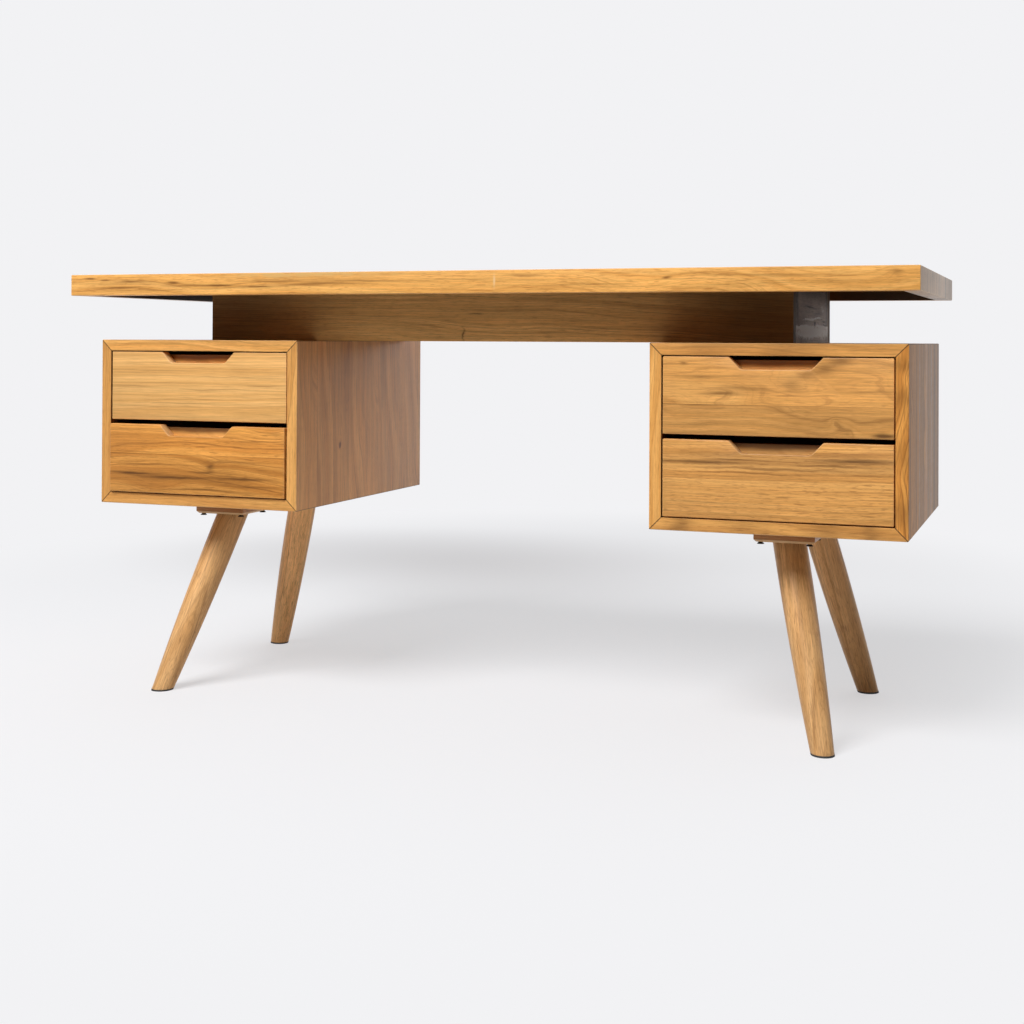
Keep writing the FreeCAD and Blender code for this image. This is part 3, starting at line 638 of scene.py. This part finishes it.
def keep_behind(shape, point, outward):
    """Cuts away what lies beyond a plane and closes the cut."""
    geometry = shape.verts[:] + shape.edges[:] + shape.faces[:]
    plane = {"plane_co": point, "plane_no": outward, "dist": EPSILON, "clear_outer": True}
    cut = bmesh.ops.bisect_plane(shape, geom=geometry, **plane)
    rim = [item for item in cut["geom_cut"] if isinstance(item, bmesh.types.BMEdge)]
    if rim:
        bmesh.ops.contextual_create(shape, geom=rim)


def show_piece(shape, node, material):
    """Turns a shape into an object that stands for a node and moves with its body."""
    bmesh.ops.recalc_face_normals(shape, faces=shape.faces[:])
    mesh = bpy.data.meshes.new(f"{node}_board")
    shape.to_mesh(mesh)
    shape.free()
    mesh.materials.append(material)
    piece = add_object(f"{node}_board", mesh)
    ease(piece, JOINT_ARRIS, JOINT_STEPS)
    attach(piece, nodes[node]["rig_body"])
    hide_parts(node)


def weld(piece):
    """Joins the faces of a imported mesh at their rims, and makes each flat face one face."""
    merge = piece.modifiers.new("weld", "WELD")
    merge.merge_threshold = WELD
    flat = piece.modifiers.new("flat_faces", "DECIMATE")
    flat.decimate_type = "DISSOLVE"
    flat.angle_limit = FLAT_ANGLE


def ease(piece, width, steps=EDGE_STEPS):
    """Eases the sharp edges of a piece."""
    round_over = piece.modifiers.new("eased_edges", "BEVEL")
    round_over.width = width
    round_over.segments = steps
    round_over.limit_method = "ANGLE"
    round_over.angle_limit = SHARP_ANGLE
    round_over.use_clamp_overlap = True
    round_over.harden_normals = True
    for face in piece.data.polygons:
        face.use_smooth = True


def finish(node, material, arris):
    """Gives a node its material and eased edges."""
    piece = nodes[node]
    piece.data.materials.clear()
    piece.data.materials.append(material)
    weld(piece)
    ease(piece, arris)


# Top, with painted shade where only its hollow underside shows
PAINTED_SHADE_SHARE = 0.97
TOP_LOOKS = {
    "top_panel": {
        "tones": HONEY, "seed": 1, "plank": 0.118, "heart_depth": -0.09, "wave": 0.03, "ring": 0.006,
        "lean_depth": 0.02, "contrast": 0.45, "tints": ((-Z_AXIS, PAINTED_SHADE_TONE, PAINTED_SHADE_SHARE),),
    },
    "top_front_edge": {
        "tones": EDGE, "seed": 2, "heart_across": 0.24, "heart_depth": -0.10, "ring": 0.0036, "wave": 0.045,
        "lean_across": 0.04, "contrast": 0.60, "pores": 0.55, "flecks": 0.55, "cloud": 0.14, "streak": 0.6,
        "figures": (
            (-0.280, 0.030, 0.26, 0.022, 2.4), (0.180, 0.000, 0.10, 0.020, 1.0),
            (0.714, 0.010, 0.02, 0.008, 1.2), (-0.620, 0.000, 0.10, 0.020, 1.4),
            (0.500, -0.010, 0.12, 0.020, 1.0),
        ),
        "stains": (
            (-0.714, 0.012, 0.012, 0.0018, 0.9), (-0.680, 0.009, 0.010, 0.0015, 0.9),
            (-0.650, -0.006, 0.050, 0.0020, 0.6), (-0.620, 0.006, 0.030, 0.0022, 0.7),
            (-0.580, -0.010, 0.040, 0.0016, 0.5), (-0.540, 0.003, 0.012, 0.0018, 1.0),
            (-0.500, -0.002, 0.060, 0.0025, 0.6), (-0.440, -0.003, 0.030, 0.0016, 0.8),
            (-0.365, -0.005, 0.030, 0.0018, 0.9), (-0.250, -0.002, 0.080, 0.0025, 0.6),
            (-0.330, 0.004, 0.060, 0.0018, 0.5), (-0.160, 0.003, 0.060, 0.0018, 0.5),
            (-0.660, 0.000, 0.110, 0.0140, 0.22), (0.714, 0.010, 0.010, 0.0050, 0.5),
            (0.374, 0.004, 0.006, 0.0025, 0.7), (0.130, 0.010, 0.040, 0.0020, 0.5),
            (0.520, 0.006, 0.100, 0.0020, 0.4), (0.250, -0.006, 0.090, 0.0018, 0.4),
            (0.640, -0.004, 0.120, 0.0090, 0.20), (-0.263, 0.010, 0.240, 0.0140, 0.20),
        ),
        "smears": ((-0.263, 0.016, 0.24, 0.007, 1.2),),
        "smear_tone": SAPWOOD,
        "ticks": ((0.076, 0.001, 0.0016, 0.009, 0.8),),
    },
    "top_back_edge": {
        "tones": HONEY, "seed": 3, "heart_across": 0.2, "heart_depth": 0.2, "wave": 0.04,
        "tints": ((-Y_AXIS, PAINTED_SHADE_TONE, PAINTED_SHADE_SHARE),),
    },
    "top_end_edge": {
        "tones": DRIFT, "seed": 4, "plank": 0.92, "joint": 0.155, "plank_spread": 0.3, "heart_depth": 0.06,
        "wave": 0.02, "ring": 0.004, "contrast": 0.4, "streak": 0.8, "pores": 0.5,
        "stains": (
            (0.000, 0.250, 0.08, 0.090, 0.60), (0.008, -0.100, 0.01, 0.120, 0.25),
            (0.000, 0.155, 0.10, 0.006, 0.90),
        ),
    },
}


def top_material(node):
    """Teak of the top: grain along the panel and the long edges, and from top to bottom on the ends."""
    if node in TOP_LOOKS:
        across = Y_AXIS if node == "top_panel" else Z_AXIS
        return teak(node, X_AXIS, across, **TOP_LOOKS[node])
    inward = X_AXIS if node == "top_left_edge" else -X_AXIS
    return teak(node, Z_AXIS, Y_AXIS, tints=((inward, PAINTED_SHADE_TONE, PAINTED_SHADE_SHARE),), **TOP_LOOKS["top_end_edge"])


def top_tray():
    """Top panel and its edge boards, mitred at the top edges and corners."""
    low, high = cad_low.copy(), cad_high.copy()
    low.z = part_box("top_front_edge")[0].z
    panel_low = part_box("top_panel")[0].z
    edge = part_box("top_front_edge")[1].y - low.y
    drop = high.z - panel_low
    slopes = {
        "front": (Vector((0, low.y, high.z)), Vector((0, -drop, -edge)), -Y_AXIS),
        "back": (Vector((0, high.y, high.z)), Vector((0, drop, -edge)), Y_AXIS),
        "left": (Vector((low.x, 0, high.z)), Vector((-drop, 0, -edge)), -X_AXIS),
        "right": (Vector((high.x, 0, high.z)), Vector((drop, 0, -edge)), X_AXIS),
    }
    panel = eased_case(low, high)
    keep_behind(panel, Vector((0, 0, panel_low)), -Z_AXIS)
    for point, outward, _ in slopes.values():
        keep_behind(panel, point, outward)
    show_piece(panel, "top_panel", top_material("top_panel"))
    corners = [Vector((x, y, 0)) for x in (low.x, high.x) for y in (low.y, high.y)]
    for side, (point, outward, face) in slopes.items():
        board = eased_case(low, high)
        keep_behind(board, point, -outward)
        keep_behind(board, point - face * edge, -face)
        for corner in corners:
            if (corner - point).dot(face) > -EPSILON:
                towards = Vector((math.copysign(1, corner.x), math.copysign(1, corner.y), 0))
                other = towards - face * towards.dot(face)
                keep_behind(board, corner, other - face)
        show_piece(board, f"top_{side}_edge", top_material(f"top_{side}_edge"))


# Pedestals, with marks at their front edges placed from the depth of the case, and painted shade on the
# walls' insides where a drawer slides
case_low, case_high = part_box("right_pedestal_outer_side")
FRONT_EDGE = (case_low.y - case_high.y) / 2
SHELF_LOOK = {"plank": 0.135, "heart_depth": 0.07, "wave": 0.020, "ring": 0.0050, "contrast": 0.45}
WALL_LOOK = {"plank": 0.128, "heart_depth": 0.06, "wave": 0.025, "ring": 0.0045, "contrast": 0.45}
STRIPE_LENGTH = 0.6
DARK_STRIPES = (
    (-0.245, 0.008, 0.5), (-0.150, 0.012, 0.4), (-0.030, 0.012, 0.5),
    (0.060, 0.010, 0.4), (0.175, 0.020, 0.8), (0.243, 0.015, 0.7),
)
PALE_STRIPES = ((-0.100, 0.012, 0.8), (0.015, 0.010, 0.8), (0.113, 0.008, 1.0))


def full_stripes(stripes):
    """Marks over the full length of a board, from their place across, half width and strength."""
    return [(0, across, STRIPE_LENGTH, half_width, strength) for across, half_width, strength in stripes]


# Painted shade on the insides of the pedestal walls, seen round the drawers
WALL_SHADE_SHARE = 0.8
BOARD_LOOKS = {
    "left_pedestal_top": {"seed": 1, "tones": HONEY, "shade_share": 1.06},
    "left_pedestal_bottom": {"seed": 2, "tones": CARAMEL},
    "left_pedestal_outer_side": {
        "seed": 3, "tones": CARAMEL, "shade_share": 0.90, "tints": ((X_AXIS, PAINTED_SHADE_TONE, WALL_SHADE_SHARE),),
    },
    # Painted sheen on the outward face of the left pedestal's inner side
    "left_pedestal_inner_side": {
        "seed": 6, "tones": AMBER, "plank_spread": 0.15, "tints": ((X_AXIS, SIDE_SHEEN_TONE, SIDE_SHEEN_SHARE),),
        "figures": ((-0.042, -0.101, 0.010, 0.007, 3.0),),
        "stains": ((-0.042, -0.101, 0.006, 0.0035, 1.6),),
    },
    "right_pedestal_top": {
        "seed": 4, "tones": CARAMEL, "shade_share": 1.12,
        "stains": ((0.020, FRONT_EDGE, 0.050, 0.010, 0.35), (-0.110, FRONT_EDGE, 0.040, 0.010, 0.25)),
    },
    "right_pedestal_bottom": {
        "seed": 5, "tones": CARAMEL, "contrast": 0.6, "flecks": 0.6,
        "stains": (
            (-0.150, FRONT_EDGE, 0.020, 0.010, 0.50), (-0.050, FRONT_EDGE, 0.040, 0.010, 0.25),
            (0.080, FRONT_EDGE, 0.030, 0.010, 0.35), (0.150, FRONT_EDGE, 0.015, 0.010, 0.40),
        ),
    },
    "right_pedestal_inner_side": {
        "seed": 7, "tones": HONEY, "shade_share": 0.94, "tints": ((X_AXIS, PAINTED_SHADE_TONE, WALL_SHADE_SHARE),),
    },
    # Painted shade on the outward face of the right pedestal's outer side, with stripes and marks of its own
    "right_pedestal_outer_side": {
        "seed": 9, "tones": RUSSET, "matt": 0.1, "plank": 0.076, "plank_spread": 0.55, "wave": 0.045,
        "contrast": 0.7, "flecks": 0.6, "worn_share": 0.0, "tints": ((X_AXIS, SIDE_SHADE_TONE, SIDE_SHADE_SHARE),),
        "smears": full_stripes(PALE_STRIPES),
        "figures": ((0.100, FRONT_EDGE, 0.020, 0.015, 1.5), (-0.050, FRONT_EDGE, 0.030, 0.015, 1.2)),
        "stains": (
            (0.120, FRONT_EDGE, 0.012, 0.010, 0.45), (0.065, FRONT_EDGE, 0.018, 0.010, 0.35),
            (-0.020, FRONT_EDGE, 0.030, 0.010, 0.30), (-0.110, FRONT_EDGE, 0.022, 0.010, 0.40),
            *full_stripes(DARK_STRIPES),
        ),
    },
}


def pedestal_material(node, face, mitres):
    """Teak of a pedestal: grain round the case, from top to bottom on the sides."""
    if face.z:
        return teak(node, X_AXIS, Y_AXIS, mitres=mitres, **{**SHELF_LOOK, **BOARD_LOOKS[node]})
    return teak(node, Z_AXIS, Y_AXIS, mitres=mitres, **{**WALL_LOOK, **BOARD_LOOKS[node]})


def far_corner(low, high, way):
    """The corner of a box that lies furthest along a direction."""
    return Vector([top if step > 0 else base for base, top, step in zip(low, high, way)])


def pedestal_boards(side):
    """The four boards of a pedestal, mitred along its front-to-back edges."""
    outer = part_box(f"{side}_pedestal_outer_side")
    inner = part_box(f"{side}_pedestal_inner_side")
    low = Vector([min(a, b) for a, b in zip(outer[0], inner[0])])
    high = Vector([max(a, b) for a, b in zip(outer[1], inner[1])])
    wall = outer[1].x - outer[0].x
    outward = X_AXIS if side == "right" else -X_AXIS
    faces = {"top": Z_AXIS, "bottom": -Z_AXIS, "outer_side": outward, "inner_side": -outward}
    for board, face in faces.items():
        shape = eased_case(low, high)
        keep_behind(shape, far_corner(low, high, face) - face * wall, -face)
        beside = [other for other in faces.values() if not other.dot(face)]
        mitres = [(far_corner(low, high, face + other), (other - face).normalized()) for other in beside]
        for point, beyond in mitres:
            keep_behind(shape, point, beyond)
        node = f"{side}_pedestal_{board}"
        show_piece(shape, node, pedestal_material(node, face, mitres))


# Drawers
FRONT_LOOKS = {
    "upper_left": {
        "tones": GOLD, "seed": 3, "heart_across": -0.30, "heart_depth": 0.24, "ring": 0.0042,
        "lean_across": 0.03, "wave": 0.026, "contrast": 0.34, "pores": 0.18, "flecks": 0.12, "cloud": 0.07,
        "streak": 0.20,
        "stains": (
            (-0.150, -0.001, 0.06, 0.0014, 0.40), (0.030, -0.006, 0.07, 0.0012, 0.45),
            (0.140, 0.003, 0.06, 0.0014, 0.50), (-0.080, 0.028, 0.08, 0.0012, 0.30),
            (0.060, 0.018, 0.09, 0.0010, 0.30), (-0.040, -0.030, 0.10, 0.0010, 0.30),
        ),
    },
    "lower_left": {
        "tones": RUSSET, "seed": 6, "heart_across": -0.10, "heart_depth": 0.10, "ring": 0.0045,
        "lean_across": 0.10, "wave": 0.030, "contrast": 0.62, "cloud": 0.16, "flecks": 0.45,
        "plank": 0.080, "joint": 0.009, "plank_spread": 0.10,
        "figures": (
            (0.040, -0.011, 0.030, 0.018, 1.4), (0.150, 0.048, 0.040, 0.018, 1.0),
            (-0.060, -0.045, 0.060, 0.018, 1.2),
        ),
        "stains": (
            (0.000, -0.036, 0.170, 0.0240, 0.24), (-0.135, -0.027, 0.060, 0.0026, 0.80),
            (-0.040, -0.032, 0.070, 0.0024, 0.70), (0.110, -0.031, 0.060, 0.0030, 0.70),
            (0.035, -0.012, 0.008, 0.0060, 0.65), (0.020, -0.022, 0.030, 0.0016, 0.60),
            (0.165, 0.050, 0.018, 0.0030, 0.45), (0.120, 0.036, 0.040, 0.0016, 0.40),
            (0.070, -0.003, 0.070, 0.0024, 0.50), (0.020, -0.054, 0.100, 0.0020, 0.55),
            (-0.100, -0.010, 0.090, 0.0014, 0.40), (0.120, -0.044, 0.060, 0.0016, 0.50),
        ),
    },
    "upper_right": {
        "tones": AMBER, "seed": 9, "heart_across": 0.05, "heart_depth": 0.12, "ring": 0.0048,
        "lean_across": -0.05, "wave": 0.036, "contrast": 0.50, "cloud": 0.18, "streak": 0.32,
        "plank": 0.080, "joint": -0.014, "plank_spread": 0.25,
        "figures": (
            (0.105, -0.046, 0.020, 0.018, 1.8), (0.097, -0.038, 0.006, 0.006, 1.6),
            (0.114, -0.054, 0.007, 0.005, 1.6), (0.030, 0.030, 0.035, 0.030, 1.8),
            (-0.080, 0.004, 0.050, 0.016, 1.6), (-0.120, 0.045, 0.050, 0.012, 1.4),
        ),
        "stains": (
            (0.080, 0.046, 0.016, 0.010, 0.55), (0.104, 0.056, 0.016, 0.006, 0.60),
            (0.055, 0.036, 0.014, 0.008, 0.45), (0.030, 0.020, 0.016, 0.014, 0.40),
            (-0.090, 0.004, 0.030, 0.003, 0.70), (-0.050, 0.012, 0.045, 0.004, 0.50),
            (-0.120, 0.030, 0.030, 0.002, 0.50), (0.150, 0.010, 0.040, 0.002, 0.40),
            (0.168, -0.057, 0.016, 0.003, 1.10), (0.142, -0.062, 0.020, 0.002, 0.70),
            (0.100, -0.040, 0.006, 0.008, 0.28), (0.112, -0.052, 0.008, 0.006, 0.30),
            (-0.150, 0.052, 0.006, 0.003, 0.60),
        ),
    },
    "lower_right": {
        "tones": AMBER, "shade_share": 0.95, "seed": 12, "heart_across": 0.22, "heart_depth": -0.12,
        "ring": 0.0036, "lean_across": 0.02, "wave": 0.020, "contrast": 0.40, "pores": 0.60, "flecks": 0.55,
        "cloud": 0.12, "streak": 0.34,
        "stains": (
            (-0.120, 0.027, 0.080, 0.0030, 0.65), (0.130, 0.035, 0.060, 0.0035, 0.70),
            (0.020, 0.031, 0.220, 0.0120, 0.30), (0.000, 0.019, 0.120, 0.0018, 0.55),
            (-0.030, 0.012, 0.090, 0.0016, 0.50), (0.100, 0.044, 0.090, 0.0035, 0.35),
            (-0.100, 0.042, 0.080, 0.0050, 0.30), (0.090, 0.026, 0.060, 0.0016, 0.50),
            (-0.060, 0.033, 0.050, 0.0014, 0.50), (0.150, 0.014, 0.050, 0.0014, 0.40),
        ),
    },
}
# Painted light: each inner front is paler or darker for the light and shade in its pull
INNER_FRONT_PAINTED_LIGHT = {
    "upper_left": {"tones": GOLD, "shade_share": 1.45},
    "lower_left": {"tones": HONEY, "shade_share": 1.05},
    "upper_right": {"tones": GOLD, "shade_share": 1.45},
    "lower_right": {"tones": GOLD, "shade_share": 0.95},
}
BOX_RUNS = {
    "inner_front": (X_AXIS, Z_AXIS), "back": (X_AXIS, Z_AXIS), "left_side": (Y_AXIS, Z_AXIS),
    "right_side": (Y_AXIS, Z_AXIS), "bottom": (X_AXIS, Y_AXIS),
}
BOX_PLANK = 0.14
# Painted shade along the top rim of each inner front, behind the pull
RIM_SHADE_LENGTH = 0.16
RIM_SHADE_WIDTH = 0.009
RIM_SHADE_STRENGTH = 1.2


def dress_drawer(name, seed):
    """A teak front with eased edges, and a plainer box whose inner front has painted light, and painted
    shade at its rim behind the pull.
    """
    front = f"{name}_drawer_front"
    finish(front, teak(front, X_AXIS, Z_AXIS, **FRONT_LOOKS[name]), ARRIS)
    for number, (piece, (along, across)) in enumerate(BOX_RUNS.items()):
        node = f"{name}_drawer_{piece}"
        look = {"tones": PALE, "seed": seed + number, "plank": BOX_PLANK}
        if piece == "inner_front":
            low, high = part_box(node)
            rim = (high.z - low.z) / 2
            look.update(INNER_FRONT_PAINTED_LIGHT[name])
            look["stains"] = ((0, rim, RIM_SHADE_LENGTH, RIM_SHADE_WIDTH, RIM_SHADE_STRENGTH),)
        finish(node, teak(node, along, across, **look), SMALL_ARRIS)


# Riser
RAIL_LOOK = {
    "tones": CHESTNUT, "heart_across": 0.4, "heart_depth": 0.15, "lean_across": 0.01, "ring": 0.0036,
    "wave": 0.02, "contrast": 0.6, "pores": 0.5, "flecks": 0.4, "streak": 0.7, "matt": 0.3,
    "worn_share": 0.0,
    # Painted shade on both end faces of the rails
    "tints": ((X_AXIS, PAINTED_SHADE_TONE, PAINTED_SHADE_SHARE), (-X_AXIS, PAINTED_SHADE_TONE, PAINTED_SHADE_SHARE)),
}
# Stains on the front rail, and painted shade at its ends over the pedestals
RAIL_STAINS_AND_SHADE = (
    (-0.038, -0.036, 0.002, 0.0100, 0.9), (-0.012, 0.000, 0.012, 0.0015, 0.7),
    (-0.500, 0.000, 0.150, 0.2000, 0.8), (0.500, 0.000, 0.150, 0.2000, 0.8),
)
END_LOOK = {
    "tones": ASH, "ring": 0.005, "wave": 0.03, "cloud": 0.5, "pores": 0.6, "matt": 0.3, "worn_share": 0.0,
    "smear_tone": LIME,
    "stains": (
        (0.024, -0.016, 0.007, 0.0030, 1.6), (-0.160, 0.012, 0.014, 0.0300, 0.8),
        (0.160, 0.000, 0.015, 0.0600, 0.6), (0.125, -0.011, 0.020, 0.0015, 1.0),
        (0.130, -0.016, 0.020, 0.0015, 1.2), (0.000, 0.045, 0.500, 0.0200, 0.8),
        (-0.030, 0.013, 0.060, 0.0015, 0.8), (0.060, 0.002, 0.050, 0.0020, 0.5),
    ),
    "smears": (
        (0.000, -0.030, 0.400, 0.0130, 1.5), (-0.040, -0.009, 0.060, 0.0020, 1.6),
        (0.040, -0.006, 0.060, 0.0020, 1.4), (0.110, 0.012, 0.040, 0.0100, 0.7),
        (-0.090, -0.022, 0.070, 0.0022, 3.0), (0.020, -0.027, 0.090, 0.0020, 3.0),
        (0.110, -0.020, 0.050, 0.0018, 3.0), (-0.030, -0.034, 0.080, 0.0020, 3.0),
    ),
}
BLOCK_LOOK = {"tones": PALE, "seed": 2}


def dress_riser():
    """Long rails with painted shade on their end faces, and on the front rail over the pedestals, rough grey
    end boards under the top, and the blocks in their corners.
    """
    rails = {"riser_front_rail": RAIL_STAINS_AND_SHADE, "riser_back_rail": ()}
    for seed, (node, stains) in enumerate(rails.items()):
        finish(node, teak(node, X_AXIS, Z_AXIS, seed=seed, stains=stains, **RAIL_LOOK), SMALL_ARRIS)
    for seed, side in enumerate(SIDES):
        node = f"riser_{side}_end"
        finish(node, teak(node, Y_AXIS, Z_AXIS, seed=seed, **END_LOOK), SMALL_ARRIS)
    finish("riser_corner_blocks", teak("riser_corner_blocks", Z_AXIS, X_AXIS, **BLOCK_LOOK), SMALL_ARRIS)


# Backs and runners of the pedestals
BACK_LOOK = {"tones": AMBER, "plank": 0.132, "wave": 0.03}
RUNNER_LOOK = {"tones": PALE}


def dress_pedestal_insides():
    """Plain back panels of planks, and the runners that carry the drawers."""
    for seed, side in enumerate(SIDES):
        node = f"{side}_pedestal_back"
        finish(node, teak(node, X_AXIS, Z_AXIS, seed=seed, **BACK_LOOK), SMALL_ARRIS)
        node = f"{side}_drawer_runners"
        finish(node, teak(node, Y_AXIS, Z_AXIS, seed=seed, **RUNNER_LOOK), SMALL_ARRIS)


# Legs
LEG_LOOK = {
    "tones": LEG, "heart_across": 0.20, "heart_depth": 0.16, "lean_across": 0.03, "ring": 0.0036,
    "wave": 0.009, "contrast": 0.5, "pores": 0.5, "flecks": 0.5, "streak": 0.5, "worn_share": 0.0,
}
# The rear left leg is paler as painted light; the other shares are the legs' own tones
LEG_TONE_AND_LIGHT_SHARES = {"front_left": 1.0, "front_right": 0.92, "rear_left": 1.35, "rear_right": 1.0}
PLATE_LOOK = {"tones": UMBER, "heart_depth": 0.05}


def leg_run(row, side):
    """Direction of a leg, from the middle of its foot to the middle of its plate."""
    leg_low, leg_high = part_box(f"{row}_{side}_leg")
    plate_low, plate_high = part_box(f"{row}_{side}_leg_plate")
    top = (plate_low + plate_high) / 2
    top_reach = {"left": leg_high.x - top.x, "right": top.x - leg_low.x}[side]
    foot_x = {"left": leg_low.x + top_reach, "right": leg_high.x - top_reach}[side]
    foot_y = {"front": leg_low.y + top_reach, "rear": leg_high.y - top_reach}[row]
    return (top - Vector((foot_x, foot_y, leg_low.z))).normalized()


def dress_legs():
    """Turned legs with the grain along their lean, and brown plates."""
    for seed, (row, side) in enumerate((row, side) for row in ROWS for side in SIDES):
        along = leg_run(row, side)
        across = along.cross(X_AXIS).normalized()
        leg = f"{row}_{side}_leg"
        share = LEG_TONE_AND_LIGHT_SHARES[f"{row}_{side}"]
        finish(leg, teak(leg, along, across, seed=seed, shade_share=share, **LEG_LOOK), ARRIS)
        plate = f"{row}_{side}_leg_plate"
        finish(plate, teak(plate, X_AXIS, Y_AXIS, seed=seed, **PLATE_LOOK), SMALL_ARRIS)


# Fittings
RUBBER_LOOK = {"colour": (0.018, 0.017, 0.016), "roughness": 0.75}
BLACK_STEEL_LOOK = {"colour": (0.020, 0.019, 0.018), "roughness": 0.45, "metallic": 0.6}
ZINC_LOOK = {"colour": (0.55, 0.55, 0.53), "roughness": 0.35, "metallic": 1.0}


def dress_fittings():
    """Rubber pads, black screws and zinc bolts."""
    finish("foot_pads", plain("black_rubber", **RUBBER_LOOK), SMALL_ARRIS)
    black = plain("black_steel", **BLACK_STEEL_LOOK)
    for node in ("plate_screws", "riser_screws"):
        finish(node, black, SCREW_ARRIS)
    finish("leg_bolts", plain("zinc_steel", **ZINC_LOOK), SCREW_ARRIS)


# Floor, light and background
BACKGROUND = (0.888, 0.888, 0.905)
FLOOR_COLOUR = (0.71, 0.715, 0.735)
# SHADE_COLOUR, SHADE_CENTRE and SHADE_RADII give a painted shade on the floor behind the desk
SHADE_COLOUR = (0.58, 0.565, 0.57)
BOUNCE_COLOUR = (0.66, 0.66, 0.66)
DARK_FLOOR_COLOUR = (0.03, 0.03, 0.03)
FLOOR_REACH = 60.0
FLOOR_CENTRE = Vector((-0.35, 0.75, 0))
FLOOR_RADII = (1.32, 1.68)
FADE_SHARES = (0.70, 1.35)
GLOW_SHARE = 0.60
SHADE_CENTRE = Vector((-0.70, 1.45, 0))
SHADE_RADII = (1.15, 0.85)
DARK_STEP = (-1.6, -0.9)
KEY_PLACE = Vector((-1.9, -5.1, 6.25))
KEY_WIDTH = 4.0
KEY_HEIGHT = 3.2
KEY_POWER = 780.0
BACK_LIGHT = 1.40
BACK_STEP = (0.40, 0.90)
TOP_LIGHT = 0.40
TOP_STEP = (0.45, 0.95)
ROOM_LIGHT = 0.04
WHITE = (1.0, 1.0, 1.0)


def seen(wire):
    """1 for what the camera sees, straight, mirrored or let through, and 0 for the light on the desk."""
    path = wire.add("ShaderNodeLightPath").outputs
    return wire.most(path["Is Camera Ray"], path["Is Glossy Ray"], path["Is Transmission Ray"])


def from_centre(wire, place, centre, radii):
    """Distance from a centre on the floor, as a share of the radii."""
    aside = wire.over(wire.minus(place[0], centre.x), radii[0])
    ahead = wire.over(wire.minus(place[1], centre.y), radii[1])
    return wire.math("SQRT", wire.plus(wire.times(aside, aside), wire.times(ahead, ahead)))


def mixed_shader(wire, share, first, second):
    """Shader between two shaders."""
    node = wire.add("ShaderNodeMixShader")
    for socket, value in zip(node.inputs, (share, first.outputs[0], second.outputs[0])):
        wire.feed(socket, value)
    return node.outputs[0]


def floor_material():
    """Pale floor that takes the shadows near the desk, and looks like the background further off.

    It has a painted shade behind the desk, a soft grey patch in its glow. Towards the sitter the room is
    dark, so there it throws no light.
    """
    material = bpy.data.materials.new("floor")
    wire = bare_wiring(material)
    place = wire.split(wire.add("ShaderNodeTexCoord").outputs["Object"])
    far = wire.rise(from_centre(wire, place, FLOOR_CENTRE, FLOOR_RADII), *FADE_SHARES)
    # Painted shade: a soft grey patch behind the desk
    near = wire.fall(from_centre(wire, place, SHADE_CENTRE, SHADE_RADII), 0.0, 1.0)
    dark = wire.fall(place[1], *DARK_STEP)
    visible = seen(wire)
    bounce = wire.mix(dark, rgba(BOUNCE_COLOUR), rgba(DARK_FLOOR_COLOUR))
    diffuse = wire.add("ShaderNodeBsdfDiffuse", Color=wire.mix(visible, bounce, rgba(FLOOR_COLOUR)))
    tint = wire.mix(near, rgba(BACKGROUND), rgba(SHADE_COLOUR))
    glow = wire.add("ShaderNodeEmission", Color=tint, Strength=1.0)
    surface = mixed_shader(wire, wire.times(least(wire, GLOW_SHARE, far), visible), diffuse, glow)
    wire.add("ShaderNodeOutputMaterial", Surface=surface)
    return material


def add_floor():
    """A wide, level floor."""
    mesh = bpy.data.meshes.new("floor")
    corners = [(x * FLOOR_REACH, y * FLOOR_REACH, 0) for x, y in ((-1, -1), (1, -1), (1, 1), (-1, 1))]
    mesh.from_pydata(corners, [], [(0, 1, 2, 3)])
    mesh.materials.append(floor_material())
    floor = add_object("floor", mesh)


def add_world():
    """A bright backdrop behind the desk and a dim room in front of it, both seen as the pale background."""
    world = bpy.data.worlds.new("studio")
    scene.world = world
    wire = bare_wiring(world)
    _, behind, above = wire.split(wire.add("ShaderNodeTexCoord").outputs["Generated"])
    glow = wire.plus(
        ROOM_LIGHT,
        wire.times(wire.rise(behind, *BACK_STEP), BACK_LIGHT),
        wire.times(wire.rise(above, *TOP_STEP), TOP_LIGHT),
    )
    ambient = wire.add("ShaderNodeBackground", Color=rgba(WHITE), Strength=glow)
    backdrop = wire.add("ShaderNodeBackground", Color=rgba(BACKGROUND), Strength=1.0)
    wire.add("ShaderNodeOutputWorld", Surface=mixed_shader(wire, seen(wire), ambient, backdrop))


def add_key_lamp():
    """A large lamp above the sitter's left."""
    lamp = bpy.data.lights.new("key", "AREA")
    lamp.shape = "RECTANGLE"
    lamp.size = KEY_WIDTH
    lamp.size_y = KEY_HEIGHT
    lamp.energy = KEY_POWER
    key = add_object("key", lamp)
    aim = Vector((0, 0, cad_high.z / 2)) - KEY_PLACE
    key.matrix_world = Matrix.Translation(KEY_PLACE) @ aim.to_track_quat("-Z", "Y").to_matrix().to_4x4()


add_camera()
top_tray()
for pedestal_side in SIDES:
    pedestal_boards(pedestal_side)
for drawer_number, drawer_name in enumerate(DRAWERS):
    dress_drawer(drawer_name, drawer_number * len(BOX_RUNS))
dress_riser()
dress_pedestal_insides()
dress_legs()
dress_fittings()
add_floor()
add_world()
add_key_lamp()

bpy.context.view_layer.update()
